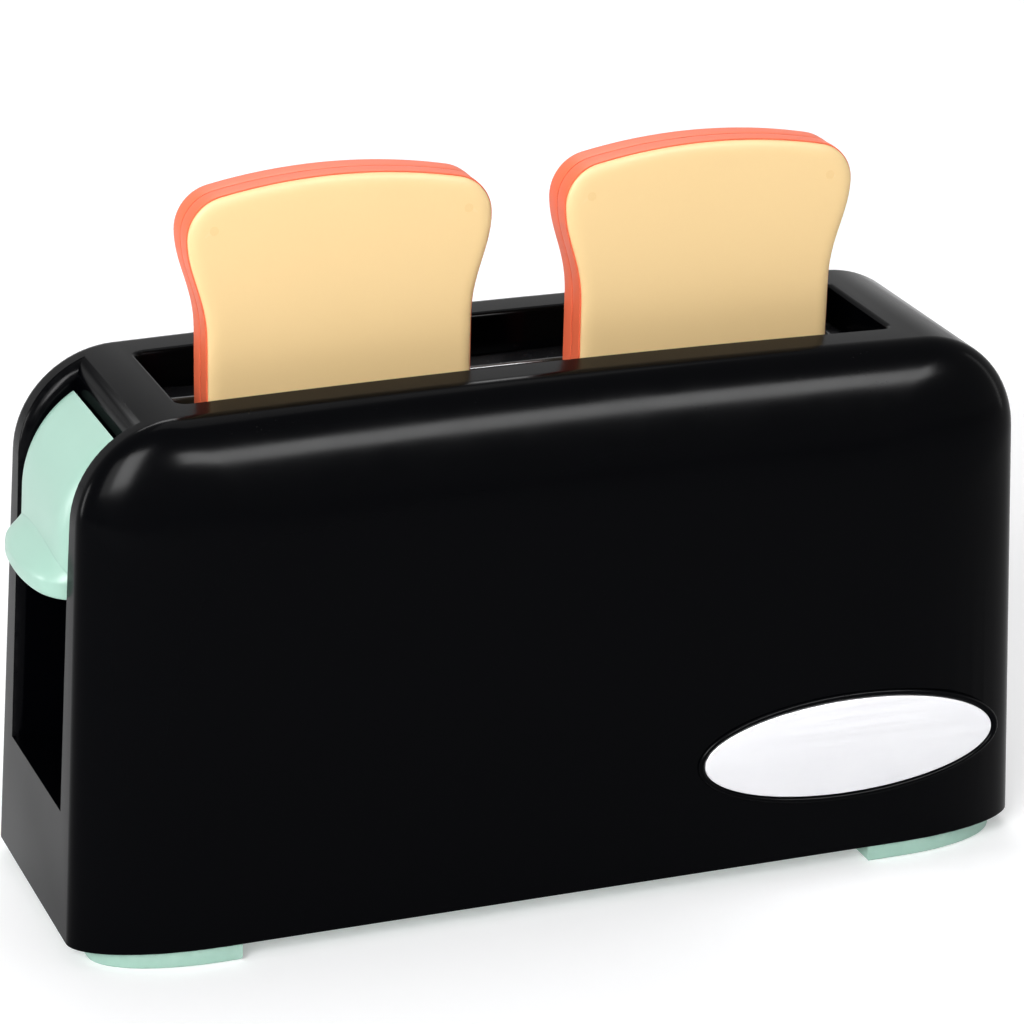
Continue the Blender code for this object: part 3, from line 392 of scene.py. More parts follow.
@cache
def hairline_scratches():
    """Mask of sparse hairlines in three directions, from play and wiping."""
    tree, into, out = new_group("hairline scratches", {"Sparseness": HAIRLINE_SPARSENESS}, ("Mask",))
    place = object_place(tree)
    total = None
    for turn in HAIRLINE_TURNS:
        lines = noise(tree, stretched(tree, place, HAIRLINE_STRETCH, turn), 1.0, 2.0)
        breaks = noise(tree, stretched(tree, place, HAIRLINE_BREAK_STRETCH, turn), 1.0, 2.0)
        over = math_node(tree, "SUBTRACT", lines, into.outputs["Sparseness"])
        line = ranged(tree, over, *HAIRLINE_RANGE)
        kept = times(tree, line, ranged(tree, breaks, *HAIRLINE_BREAK_RANGE))
        total = kept if total is None else math_node(tree, "MAXIMUM", total, kept)
    tree.links.new(total, out.inputs["Mask"])
    return tree


@cache
def edge_hollow_masks():
    """Mask of rubbed outer edges, broken up by noise, and of hollows, where plastics take painted shade and
    metals tarnish.
    """
    tree, into, out = new_group("edge and hollow masks", {"Break Up": WEAR_SCALE}, ("Edge", "Hollow"))
    place = object_place(tree)
    broken = ranged(tree, noise(tree, place, into.outputs["Break Up"], 4.0, 0.6), *WEAR_RANGE)
    edge = times(tree, kept_mask(tree, EDGE_MASK), broken)
    tree.links.new(edge, out.inputs["Edge"])
    tree.links.new(kept_mask(tree, HOLLOW_MASK), out.inputs["Hollow"])
    return tree


def kept_mask(tree, name):
    node = tree.nodes.new("ShaderNodeAttribute")
    node.attribute_name = name
    return node.outputs["Fac"]


@cache
def settled_dust():
    """Mask of sparse dust specks on faces that look up."""
    tree, into, out = new_group("settled dust", {"Speck Scale": SPECK_SCALE}, ("Mask",))
    place = object_place(tree)
    split = tree.nodes.new("ShaderNodeSeparateXYZ")
    tree.links.new(tree.nodes.new("ShaderNodeNewGeometry").outputs["Normal"], split.inputs["Vector"])
    upward = ranged(tree, split.outputs["Z"], *DUST_UPWARD_RANGE)
    specks = tree.nodes.new("ShaderNodeTexVoronoi")
    tree.links.new(place, specks.inputs["Vector"])
    tree.links.new(into.outputs["Speck Scale"], specks.inputs["Scale"])
    near = ranged(tree, specks.outputs["Distance"], *SPECK_RANGE)
    patchy = ranged(tree, noise(tree, place, DUST_PATCH_SCALE, 3.0), *DUST_PATCH_RANGE)
    tree.links.new(times(tree, times(tree, near, patchy), upward), out.inputs["Mask"])
    return tree


# Materials

def start_material(name, colour, roughness, metallic=0.0):
    """New material with its Principled shader, whose sockets hold what is the same all over."""
    made = bpy.data.materials.new(name)
    made.use_nodes = True
    shader = made.node_tree.nodes["Principled BSDF"]
    shader.inputs["Base Color"].default_value = (*colour, 1.0)
    shader.inputs["Roughness"].default_value = roughness
    shader.inputs["Metallic"].default_value = metallic
    made.diffuse_color = (*colour, 1.0)
    return made, made.node_tree, shader


def group_node(tree, group):
    node = tree.nodes.new("ShaderNodeGroup")
    node.node_tree = group
    return node


def blended(tree, mask, first, second):
    """Colour mixed by a mask: first and second are colours or sockets."""
    node = tree.nodes.new("ShaderNodeMix")
    node.data_type = "RGBA"
    tree.links.new(mask, node.inputs["Factor"])
    for label, value in (("A", first), ("B", second)):
        socket = next(s for s in node.inputs if s.name == label and s.type == "RGBA")
        if isinstance(value, bpy.types.NodeSocket):
            tree.links.new(value, socket)
        else:
            socket.default_value = (*value, 1.0)
    return next(s for s in node.outputs if s.type == "RGBA")


def bumped(tree, shader, height, distance, under=None):
    """Bump node over the height, in metres. Returns it so that a second one can lie over it."""
    node = tree.nodes.new("ShaderNodeBump")
    node.inputs["Distance"].default_value = distance
    node.inputs["Strength"].default_value = 1.0
    tree.links.new(height, node.inputs["Height"])
    if under:
        tree.links.new(under.outputs["Normal"], node.inputs["Normal"])
    tree.links.new(node.outputs["Normal"], shader.inputs["Normal"])
    return node


def plastic(name, colour, worn_and_sheen, hollow, finish, depths, wear_amounts):
    """Moulded plastic: paler on rubbed edges, from wear and on satin black also as a painted highlight, and
    darker in hollows as painted shade, with grain, waves and hairlines.
    """
    rough, cloudiness, specular = finish
    wave_depth, grain_depth = depths
    dusty, scratched, rubbed_and_sheen = wear_amounts
    made, tree, shader = start_material(name, colour, rough)
    shader.inputs["Specular IOR Level"].default_value = specular
    grain = group_node(tree, moulding_grain())
    edge_and_hollow = group_node(tree, edge_hollow_masks())
    lines = group_node(tree, hairline_scratches())
    # Painted shade: the colour darkens towards the hollow colour in creases, grooves and recesses.
    tone = blended(tree, times(tree, edge_and_hollow.outputs["Hollow"], HOLLOW_SHARE), colour, hollow)
    # Paler towards the rubbed-edge colour: wear, and on satin black partly a painted highlight along the
    # liner's rounded edges.
    tone = blended(tree, times(tree, edge_and_hollow.outputs["Edge"], rubbed_and_sheen), tone, worn_and_sheen)
    gloss = ranged(tree, grain.outputs["Cloud"], 0.0, 1.0, rough - cloudiness, rough + cloudiness)
    gloss = math_node(tree, "ADD", gloss, times(tree, lines.outputs["Mask"], scratched))
    gloss = math_node(tree, "ADD", gloss, times(tree, edge_and_hollow.outputs["Edge"], WORN_ROUGHNESS))
    if dusty:
        dust = group_node(tree, settled_dust())
        amount = times(tree, dust.outputs["Mask"], dusty)
        tone = blended(tree, amount, tone, DUST_COLOUR)
        gloss = math_node(tree, "ADD", gloss, amount)
    tree.links.new(tone, shader.inputs["Base Color"])
    tree.links.new(gloss, shader.inputs["Roughness"])
    wave = bumped(tree, shader, grain.outputs["Wave"], wave_depth)
    bumped(tree, shader, grain.outputs["Grain"], grain_depth, under=wave)
    return made


def metal(name, colour, tarnish, rough, metallic, stretch, grain_depth):
    """Bright metal with drawn or brushed lines, a slow tarnish and darker hollows."""
    made, tree, shader = start_material(name, colour, rough, metallic)
    lines = noise(tree, stretched(tree, object_place(tree), stretch, (0.0, 0.0, 0.0)), 1.0, 3.0)
    grain = group_node(tree, moulding_grain())
    edge_and_hollow = group_node(tree, edge_hollow_masks())
    tone = blended(tree, times(tree, grain.outputs["Cloud"], STAIN_SHARE), colour, tarnish)
    tone = blended(tree, times(tree, edge_and_hollow.outputs["Hollow"], METAL_HOLLOW_SHARE), tone, tarnish)
    tree.links.new(tone, shader.inputs["Base Color"])
    uneven = ranged(tree, lines, *DRAWN_RANGE, rough - DRAWN_SMOOTHER, rough + DRAWN_ROUGHER)
    tree.links.new(uneven, shader.inputs["Roughness"])
    bumped(tree, shader, lines, grain_depth)
    return made


PLASTICS = {
    # colour, colour on rubbed edges (wear, and on satin black a painted highlight), painted shade colour in
    # hollows, (roughness, its cloudiness, specular level),
    # (depth of the waves and of the grain), (how dusty, scratched and rubbed it is)
    "gloss_black": ((0.0006, 0.0007, 0.0012), (0.012, 0.012, 0.013), (0.0004, 0.0004, 0.0007),
                    (0.17, 0.02, 0.03), (0.00011, 0.000001), (0.03, 0.08, 0.5)),
    # satin_black's pale edge colour, strongly applied, is partly wear and partly a painted highlight along
    # the liner's rounded edges.
    "satin_black": ((0.0060, 0.0062, 0.0075), (0.120, 0.120, 0.125), (0.0030, 0.0030, 0.0036),
                    (0.24, 0.06, 0.50), (0.00008, 0.000003), (0.15, 0.12, 0.8)),
    "mint": ((0.375, 0.595, 0.500), (0.52, 0.73, 0.64), (0.29, 0.49, 0.41),
             (0.34, 0.02, 0.35), (0.00003, 0.000003), (0.0, 0.01, 0.35)),
    "cream": ((0.970, 0.690, 0.335), (0.98, 0.77, 0.46), (0.93, 0.64, 0.29),
              (0.48, 0.03, 0.26), (0.00004, 0.000008), (0.0, 0.0, 0.3)),
    "coral": ((0.990, 0.185, 0.082), (0.99, 0.28, 0.16), (0.94, 0.160, 0.070),
              (0.42, 0.03, 0.18), (0.00004, 0.000004), (0.0, 0.01, 0.2)),
}
LOOKS = {key: plastic(f"{key}_moulding", *row) for key, row in PLASTICS.items()}
LOOKS["steel"] = metal("bright_steel", (0.62, 0.62, 0.64), (0.40, 0.39, 0.38), 0.24, 1.0,
                       (900.0, 900.0, 90.0), 0.000004)
LOOKS["silver"] = metal("silver_foil", (0.75, 0.75, 0.77), (0.71, 0.71, 0.74), 0.42, 0.45,
                        (25.0, 900.0, 4200.0), 0.000002)


# The housing's form

def top_height(x):
    """Height of the crowned top above the bottom edge, x from the left end."""
    return HEIGHT - TOP_SHARE * (x - LENGTH / 2) ** 2


def band_half(z):
    """Half width of the flat band at z above the bottom edge."""
    return BAND_HALF_BOTTOM - (BAND_HALF_BOTTOM - BAND_HALF_TOP) * z / HEIGHT


def arch(inset, radius, bottom):
    """Side outline drawn in by the inset, as (x from the left end, z) from the lever end to the far end."""
    centre_x = inset + radius + LEAN_SHARE * (HEIGHT - inset - radius)
    centre_z = top_height(centre_x) - inset - radius
    start = math.pi - math.atan(LEAN_SHARE)
    end = math.pi / 2 + math.atan(2 * TOP_SHARE * (LENGTH / 2 - centre_x))
    half = [(inset + LEAN_SHARE * bottom, bottom)]
    for i in range(CORNER_STEPS + 1):
        angle = start + (end - start) * i / CORNER_STEPS
        half.append((centre_x + radius * math.cos(angle), centre_z + radius * math.sin(angle)))
    last_x = half[-1][0]
    for i in range(1, TOP_STEPS):
        x = last_x + (LENGTH / 2 - last_x) * i / TOP_STEPS
        half.append((x, top_height(x) - inset))
    crest = [(LENGTH / 2, HEIGHT - inset)]
    return half + crest + [(LENGTH - x, z) for x, z in reversed(half)]


def fillet_angles(inset, steps):
    """Ellipse angles whose normals turn by equal steps from the band to the face."""
    long_axis, short_axis = FACE_INSET - inset, FACE_BULGE - inset
    turns = [math.pi / 2 * i / steps for i in range(steps + 1)]
    return [math.atan2(short_axis * math.sin(t), long_axis * math.cos(t)) for t in turns]


def housing_form(name, inset, bottom, steps):
    """The housing's form drawn in by the inset: rings from the front face over the band to the rear face."""
    angles = fillet_angles(inset, steps)
    sides = [(-1, a) for a in reversed(angles)] + [(1, a) for a in angles]
    rings = []
    for side, angle in sides:
        drawn = (FACE_INSET - inset) * (1 - math.cos(angle))
        radius = CORNER_RADIUS - inset - (CORNER_RADIUS - FACE_CORNER_RADIUS) * drawn / FACE_INSET
        bulge = (FACE_BULGE - inset) * math.sin(angle)
        rings.append([(LEFT_END + x, side * (band_half(z) + bulge), BOTTOM + z)
                      for x, z in arch(inset + drawn, radius, bottom)])
    return loft(name, rings)


def plan_outline(inset, steps):
    """Outline of the housing's bottom edge drawn in by the inset, as (x, y) points."""
    corner = []
    for angle in reversed(fillet_angles(inset, steps)):
        x = inset + (FACE_INSET - inset) * (1 - math.cos(angle))
        corner.append((LEFT_END + x, BAND_HALF_BOTTOM + (FACE_BULGE - inset) * math.sin(angle)))
    left = corner + [(x, -y) for x, y in reversed(corner)]
    return left + [(2 * MIDDLE_X - x, y) for x, y in reversed(left)]


def rounded_rectangle(x, half_x, half_y, radius):
    points = []
    for quarter, (sx, sy) in enumerate(((1, 1), (-1, 1), (-1, -1), (1, -1))):
        for i in range(ROUNDING_STEPS + 1):
            angle = math.pi / 2 * (quarter + i / ROUNDING_STEPS)
            points.append((x + sx * (half_x - radius) + radius * math.cos(angle),
                           sy * (half_y - radius) + radius * math.sin(angle)))
    return points


def rounding(radius):
    """Pairs (spread, depth) of a rounded edge, from its foot inside the opening to the outer surface."""
    turns = [math.pi / 2 * MOUTH_TURN_SHARE * i / MOUTH_STEPS for i in range(MOUTH_STEPS + 1)]
    return [(radius * (1 - math.cos(t)), radius * (1 - math.sin(t))) for t in turns]


def slot_ring(spread):
    """Outline of the bread slot widened by the spread, with points along its long sides."""
    corners = rounded_rectangle(SLOT_X, SLOT_HALF_LENGTH + spread, SLOT_HALF_WIDTH + spread,
                                SLOT_CORNER + spread)
    points = []
    for place, here in enumerate(corners):
        points.append(here)
        ahead = corners[(place + 1) % len(corners)]
        long_way = ahead[0] - here[0]
        if abs(long_way) > SLOT_HALF_LENGTH:
            points += [(here[0] + long_way * i / SIDE_STEPS, here[1]) for i in range(1, SIDE_STEPS)]
    return points


def slot_space():
    """Cutter for the bread slot: its mouth rounds over into the crowned top."""
    rings = [[(x, y, LINER_TOP - OVERRUN) for x, y in slot_ring(0)]]
    for spread, depth in rounding(SLOT_ROUND):
        rings.append([(x, y, BOTTOM + top_height(x - LEFT_END) - depth) for x, y in slot_ring(spread)])
    spread = rounding(SLOT_ROUND)[-1][0]
    rings.append([(x, y, TOP_Z + OVERRUN) for x, y in slot_ring(spread)])
    return loft("slot space", rings)


def channel_curve(depth, reach, count):
    """Points (x, z) along the lever end and over its corner at this depth, up to x = reach, evenly spaced."""
    path = [Vector(p) for p in arch(depth, CORNER_RADIUS - depth, CHANNEL_FLOOR)]
    kept = [path[0]]
    for here in path[1:]:
        last = kept[-1]
        if here.x >= reach:
            kept.append(last + (here - last) * (reach - last.x) / (here.x - last.x))
            break
        kept.append(here)
    lengths = [0.0]
    for near, far in zip(kept, kept[1:]):
        lengths.append(lengths[-1] + (far - near).length)
    points = []
    step = 0
    for i in range(count + 1):
        want = lengths[-1] * i / count
        while step < len(kept) - 2 and lengths[step + 1] < want:
            step += 1
        share = (want - lengths[step]) / (lengths[step + 1] - lengths[step])
        points.append(kept[step] + (kept[step + 1] - kept[step]) * share)
    return points


def mouth_curves():
    """Pairs (spread, points) along the channel's edge, from inside the opening to outside the housing."""
    profile = [(0.0, 1.0)] + rounding(1.0)
    curves = []
    for place, (spread, depth) in enumerate(profile):
        inside = SEAT_GAP if place == 0 else 0
        reach = CHANNEL_DEPTH + MOUTH_ROUND_HIGH * spread
        curves.append((spread, channel_curve(MOUTH_ROUND_HIGH * depth + inside, reach - inside, MOUTH_ROWS)))
    curves.append((spread, channel_curve(-OVERRUN / 4, reach, MOUTH_ROWS)))
    return curves


def channel_mouth():
    """Cutter that rounds the channel's edges along the end and its corner, and widens as it comes out."""
    curves = mouth_curves()
    mesh = bmesh.new()
    rows = []
    for i in range(MOUTH_ROWS + 1):
        side_round = MOUTH_ROUND_LOW + (MOUTH_ROUND_HIGH - MOUTH_ROUND_LOW) * mouth_swell(i / MOUTH_ROWS)
        row = {}
        for side in (-1, 1):
            row[side] = []
            for place, (spread, points) in enumerate(curves):
                half = CHANNEL_HALF + side_round * spread - (SEAT_GAP if place == 0 else 0)
                row[side].append(mesh.verts.new((LEFT_END + points[i].x, side * half, BOTTOM + points[i].y)))
        rows.append(row)
    for near, far in zip(rows, rows[1:]):
        for side in (-1, 1):
            join_rows(mesh, near[side], far[side])
        for k in (0, len(curves) - 1):
            mesh.faces.new((near[-1][k], near[1][k], far[1][k], far[-1][k]))
    for row in (rows[0], rows[-1]):
        join_rows(mesh, row[-1], row[1])
    return empty_mesh("channel mouth", mesh)


def smooth_step(share):
    return share ** 2 * (3 - 2 * share)


def mouth_swell(share):
    """0 along the straight end, rising to 1 where the channel turns over the corner."""
    return smooth_step(min(1.0, max(0.0, (share - HALF) / (1 - HALF))))


# Badge: a bare oval plate in a raised rim, low on the right of the front face
BADGE_HALF_LENGTH = 0.0315
BADGE_HALF_HEIGHT = 0.0100
BADGE_FROM_RIGHT = 0.0414
BADGE_RISE = 0.0229         # its middle above the bottom edge
BADGE_PLATE = 0.0007
BADGE_RIM = 0.0015
BADGE_RIM_HEIGHT = 0.0006
BADGE_RECESS = 0.0012
BADGE_BACKING = 0.0034      # how far the pad under the badge goes in behind the face
BADGE_SIDES = 144
BADGE_RIM_STEPS = 8
BADGE_EDGE = 0.00023        # the plate's rounded edge
BADGE_BEAD = 0.00060        # half width of the rim's bead
BADGE_DIP_SHARE = 0.6       # how far the bead's inner side comes down before the recess


def badge_ring(spare, out):
    """Oval round the badge, this much larger than the plate and this far out from the front face."""
    tilt = math.atan((BAND_HALF_BOTTOM - BAND_HALF_TOP) / HEIGHT)
    middle = Vector((RIGHT_END - BADGE_FROM_RIGHT, -band_half(BADGE_RISE) - FACE_BULGE, BOTTOM + BADGE_RISE))
    up = Vector((0, math.sin(tilt), math.cos(tilt)))
    outward = Vector((0, -math.cos(tilt), math.sin(tilt)))
    points = []
    for i in range(BADGE_SIDES):
        angle = 2 * math.pi * i / BADGE_SIDES
        along = (BADGE_HALF_LENGTH + spare) * math.cos(angle)
        rise = (BADGE_HALF_HEIGHT + spare) * math.sin(angle)
        points.append(middle + Vector((along, 0, 0)) + rise * up + out * outward)
    return points


def badge_pad():
    """Pad that carries the rim: a round bead whose inner side drops to the plate."""
    rings = [badge_ring(BADGE_RIM, -BADGE_BACKING)]
    for cosine, sine in quarter_turn(BADGE_RIM_STEPS):
        spare = BADGE_RIM - BADGE_BEAD * (1 - cosine)
        rings.append(badge_ring(spare, BADGE_RIM_HEIGHT * sine))
    for cosine, sine in quarter_turn(BADGE_RIM_STEPS)[1:]:
        spare = BADGE_RIM - BADGE_BEAD - BADGE_BEAD * sine
        rings.append(badge_ring(spare, BADGE_RIM_HEIGHT * (1 - BADGE_DIP_SHARE * (1 - cosine))))
    return loft("badge pad", rings)


def badge_recess():
    floor = BADGE_RIM_HEIGHT - BADGE_RECESS
    return loft("badge recess", [badge_ring(SEAT_GAP, floor), badge_ring(SEAT_GAP, OVERRUN)])


def badge_plate():
    """Thin plate with a softly rounded edge."""
    low = BADGE_RIM_HEIGHT - BADGE_RECESS + SEAT_GAP
    high = low + BADGE_PLATE
    rings = [badge_ring(0, low)]
    for cosine, sine in quarter_turn(MOUTH_STEPS):
        rings.append(badge_ring(-BADGE_EDGE * (1 - cosine), high - BADGE_EDGE * (1 - sine)))
    return dressed(loft("badge_foil_plate", rings), "silver", "housing", "badge_plate")


# Screws: pan heads with a cross recess
SCREW_HEAD_SHARE = 0.60     # head height as a share of its radius
HEAD_STEPS = 7
RECESS_REACH_SHARE = 0.62   # half length of the cross, as a share of the head's radius
RECESS_WIDTH_SHARE = 0.17
RECESS_DEPTH_SHARE = 0.42
THREAD_PITCH_SHARE = 0.55   # of the shank's radius
THREAD_DEPTH_SHARE = 0.14


def screw(name, place, head_radius, shank_radius, length, body):
    """Screw driven upwards from its seat, with a domed head, a cross recess and a ringed shank."""
    x, y, seat = place
    node = name.replace("_cross", "")
    head = head_radius * SCREW_HEAD_SHARE
    levels = [(head_radius * cosine, seat - head / 2 - head / 2 * sine)
              for cosine, sine in reversed(quarter_turn(HEAD_STEPS + 1)[:-1])]
    levels += [(head_radius, seat), (shank_radius, seat)]
    pitch = shank_radius * THREAD_PITCH_SHARE
    turns = int((length - 2 * shank_radius) / pitch)
    for i in range(1, turns):
        levels.append((shank_radius * (1 - THREAD_DEPTH_SHARE * (i % 2)), seat + shank_radius + pitch * i))
    levels += [(shank_radius / 2, seat + length)]
    body_mesh = turned(name, x, y, levels)
    reach, half = head_radius * RECESS_REACH_SHARE, head_radius * RECESS_WIDTH_SHARE
    deep = seat - head + head * RECESS_DEPTH_SHARE
    for arm_x, arm_y in ((reach, half), (half, reach)):
        cut(body_mesh, box("cross", (x - arm_x, x + arm_x), (y - arm_y, y + arm_y),
                           (seat - head - OVERRUN, deep)))
    return dressed(body_mesh, "steel", body, node)


# Base: a plate inside the bottom opening with four feet below it
BASE_RECESS = 0.0006
BASE_THICKNESS = 0.0022
BASE_MIDDLE = BOTTOM + BASE_RECESS + BASE_THICKNESS / 2
BASE_TOP = BOTTOM + BASE_RECESS + BASE_THICKNESS
FOOT_END = 0.0040           # from the housing's end to the foot
FOOT_LENGTHS = {"left": 0.0280, "right": 0.0318}
FOOT_INSET = 0.0006         # from the front face to the foot
FOOT_DEPTH = 0.0125
FOOT_EDGE = 0.0008
FOOT_CORNER_STEPS = 14
FOOT_EDGE_STEPS = 4
RIB_WIDTH = 0.0014
RIB_HEIGHT = 0.0030
RIB_SPREAD = 0.0135         # the two long ribs' distance from the middle
BASE_SCREW_FROM_END = 0.0165
BASE_SCREW_FROM_FACE = 0.0086
BASE_SCREW_HEAD = 0.0028
BASE_SCREW_SHANK = 0.0014
BASE_SCREW_LENGTH = 0.0110
SOCKET_WALL = 0.0018        # of the rod sockets on the base and under the top
SOCKET_FOOT = 0.0062        # height of the rod sockets on the base
SOCKET_FLOOR = 0.0010


def base_screw_places():
    columns = (("left", LEFT_END + BASE_SCREW_FROM_END), ("middle", MIDDLE_X),
               ("right", RIGHT_END - BASE_SCREW_FROM_END))
    spread = BAND_HALF_BOTTOM + FACE_BULGE - BASE_SCREW_FROM_FACE
    rows = (("front", -spread), ("rear", spread))
    return [(f"{row}_{column}", x, y) for column, x in columns for row, y in rows]


def foot_outline(word_x, side_y, inset):
    """One foot in plan: it follows the housing's rounded corner, drawn in by the inset."""
    half = BAND_HALF_BOTTOM + FACE_BULGE - FOOT_INSET - inset
    near, far = FOOT_END + inset, FOOT_END + FOOT_LENGTHS[word_x] - inset
    side_x = -1 if word_x == "right" else 1
    points = [(far, half)]
    for i in range(FOOT_CORNER_STEPS + 1):
        angle = math.pi / 2 * (1 - i / FOOT_CORNER_STEPS)
        x = FACE_INSET - (FACE_INSET - near) * math.cos(angle)
        points.append((x, BAND_HALF_BOTTOM + (half - BAND_HALF_BOTTOM) * math.sin(angle)))
    inner = half - FOOT_DEPTH + 2 * inset
    points += [(near, inner), (far, inner)]
    return [(MIDDLE_X - side_x * (LENGTH / 2 - x), side_y * y) for x, y in points]


def foot(name, word_x, side_y):
    """Foot pad with a rounded lower edge: wide below the housing, narrower where it joins the plate."""
    levels = [(FOOT_EDGE * (1 - sine), FOOT_EDGE * (1 - cosine))
              for cosine, sine in quarter_turn(FOOT_EDGE_STEPS)]
    levels += [(0.0, BOTTOM - SEAT_GAP), (WALL, BOTTOM - SEAT_GAP), (WALL, BASE_MIDDLE)]
    rings = [[(x, y, z) for x, y in foot_outline(word_x, side_y, inset)] for inset, z in levels]
    return loft(name, rings)


def rod_places():
    return (("left", SLOT_X - ROD_FROM_SLOT), ("right", SLOT_X + ROD_FROM_SLOT))


def base():
    """Mint base plate with its feet, ribs, rod sockets and counterbored screw holes."""
    body = prism("base_moulding", plan_outline(WALL + SEAT_GAP, FACE_STEPS), BOTTOM + BASE_RECESS, BASE_TOP)
    parts = [foot(f"foot {word_y} {word_x}", word_x, side_y)
             for word_x in FOOT_LENGTHS for side_y, word_y in ((-1, "front"), (1, "rear"))]
    for side in (-1, 1):
        rib_y = sorted((side * RIB_SPREAD, side * (RIB_SPREAD + RIB_WIDTH)))
        parts.append(box(f"base rib {side}", (SLOT_X - SLOT_HALF_LENGTH, SLOT_X + SLOT_HALF_LENGTH), rib_y,
                         (BASE_TOP - BASE_THICKNESS / 2, BASE_TOP + RIB_HEIGHT)))
    radius = ROD_RADIUS + SEAT_GAP
    holes = []
    floor_z = BOTTOM + BASE_RECESS + SOCKET_FLOOR
    for label, x in rod_places():
        parts.append(post(f"base socket {label}", x, 0, radius + SOCKET_WALL,
                          (BASE_MIDDLE, BASE_TOP + SOCKET_FOOT)))
        holes.append(post(f"base bore {label}", x, 0, radius, (floor_z, BASE_TOP + OVERRUN)))
    add(body, *parts)
    for label, x, y in base_screw_places():
        holes.append(post(f"counterbore {label}", x, y, BASE_SCREW_HEAD + RUN_GAP,
                          (-OVERRUN, BOTTOM + BASE_RECESS)))
        holes.append(post(f"hole {label}", x, y, BASE_SCREW_SHANK + SEAT_GAP,
                          (-OVERRUN, BASE_TOP + OVERRUN)))
    cut(body, *holes)
    return dressed(body, "mint", "housing", "base")


def base_screws():
    seat = BOTTOM + BASE_RECESS - SEAT_GAP
    for label, x, y in base_screw_places():
        screw(f"base_screw_{label}_cross", (x, y, seat), BASE_SCREW_HEAD, BASE_SCREW_SHANK, BASE_SCREW_LENGTH,
              "housing")


# Slot liner: a flange under the slot's lip and the walls of the well, with screw ears
LINER_WALL = 0.0014
FLANGE_THICKNESS = 0.0015
FLANGE_TUCK = 0.0008        # how far the flange goes under the lip at the slot's ends
LINER_TOP = TOP_Z - LIP_DEPTH - SEAT_GAP - 2 * CROWN
LINER_BELOW_TRAY = 0.0040   # its walls reach this far below the tray's lowest place
EAR_FROM_END = 0.0280       # from the slot's end
EAR_FROM_SIDE = 0.0044      # from the slot's side
LINER_SCREW_HEAD = 0.0024
LINER_SCREW_SHANK = 0.0011
LINER_SCREW_LENGTH = 0.0040
NIB_HALF_WIDTH = 0.0015
NIB_REACH = 0.0015
NIB_HEIGHT = 0.0038
LINER_ROUND = 0.0007        # the well's upper edge
LINER_FLOOR = TRAY_BOTTOM - TRAVEL - LINER_BELOW_TRAY


def ear_places():
    along, across = SLOT_HALF_LENGTH - EAR_FROM_END, SLOT_HALF_WIDTH + EAR_FROM_SIDE
    return [(f"{row}_{column}", SLOT_X + side_x * along, side_y * across)
            for side_x, column in ((-1, "left"), (1, "right"))
            for side_y, row in ((-1, "front"), (1, "rear"))]


def liner_ring(half_x, half_y, radius, z):
    return [(x, y, z) for x, y in rounded_rectangle(SLOT_X, half_x, half_y, radius)]


def slot_liner():
    """Satin liner seen in the slot: a flange, a well with a rounded upper edge, arm slits, nibs and ears."""
    under = LINER_TOP - FLANGE_THICKNESS
    flange_x, flange_y = SLOT_HALF_LENGTH + FLANGE_TUCK, SLOT_HALF_WIDTH + LIP_WALL
    wall_x, wall_y = WELL_HALF_LENGTH + LINER_WALL, WELL_HALF_WIDTH + LINER_WALL
    outline = [(wall_x, wall_y, SLOT_CORNER, LINER_FLOOR), (wall_x, wall_y, SLOT_CORNER, under),
               (flange_x, flange_y, SLOT_CORNER, under), (flange_x, flange_y, SLOT_CORNER, LINER_TOP)]
    for cosine, sine in quarter_turn(MOUTH_STEPS):
        out = LINER_ROUND * (1 - sine)
        outline.append((WELL_HALF_LENGTH + out, WELL_HALF_WIDTH + out, SLOT_CORNER / 2 + out,
                        LINER_TOP - LINER_ROUND * (1 - cosine)))
    outline.append((WELL_HALF_LENGTH, WELL_HALF_WIDTH, SLOT_CORNER / 2, LINER_FLOOR))
    body = loft("slot_liner_moulding", [liner_ring(*level) for level in outline], closed=True)
    parts = [post(f"ear {label}", x, y, LINER_SCREW_HEAD + RUN_GAP, (under, LINER_TOP))
             for label, x, y in ear_places()]
    for side in (-1, 1):
        nib_y = sorted((side * (WELL_HALF_WIDTH - NIB_REACH), side * (WELL_HALF_WIDTH + LINER_WALL / 2)))
        nib_top = LINER_TOP - FLANGE_THICKNESS / 2
        parts.append(box(f"nib {side}", (SLOT_X - NIB_HALF_WIDTH, SLOT_X + NIB_HALF_WIDTH), nib_y,
                         (nib_top - NIB_HEIGHT, nib_top)))
    add(body, *parts)
    slit = ARM_HALF_WIDTH + RUN_GAP
    holes = [box("liner slits", (SLOT_X - WELL_HALF_LENGTH - OVERRUN, SLOT_X + WELL_HALF_LENGTH + OVERRUN),
                 (-slit, slit), (LINER_FLOOR - OVERRUN, ARM_TOP + RUN_GAP))]
    holes += [post(f"ear hole {label}", x, y, LINER_SCREW_SHANK + SEAT_GAP,
                   (LINER_TOP - OVERRUN, LINER_TOP + OVERRUN)) for label, x, y in ear_places()]
    cut(body, *holes)
    return dressed(body, "satin_black", "housing", "slot_liner")


def liner_screws():
    seat = LINER_TOP - FLANGE_THICKNESS - SEAT_GAP
    for label, x, y in ear_places():
        screw(f"liner_screw_{label}_cross", (x, y, seat), LINER_SCREW_HEAD, LINER_SCREW_SHANK,
              LINER_SCREW_LENGTH, "housing")


# Carriage bush, which stops against the rod sockets in the housing
BUSH_OVER = 0.0012          # the bush stands out this far above and below the arm
BUSH_TOP = ARM_TOP + BUSH_OVER
BUSH_BOTTOM = TRAY_BOTTOM - BUSH_OVER
ROD_TOP = TOP_Z - WALL - 2 * CROWN - SEAT_GAP


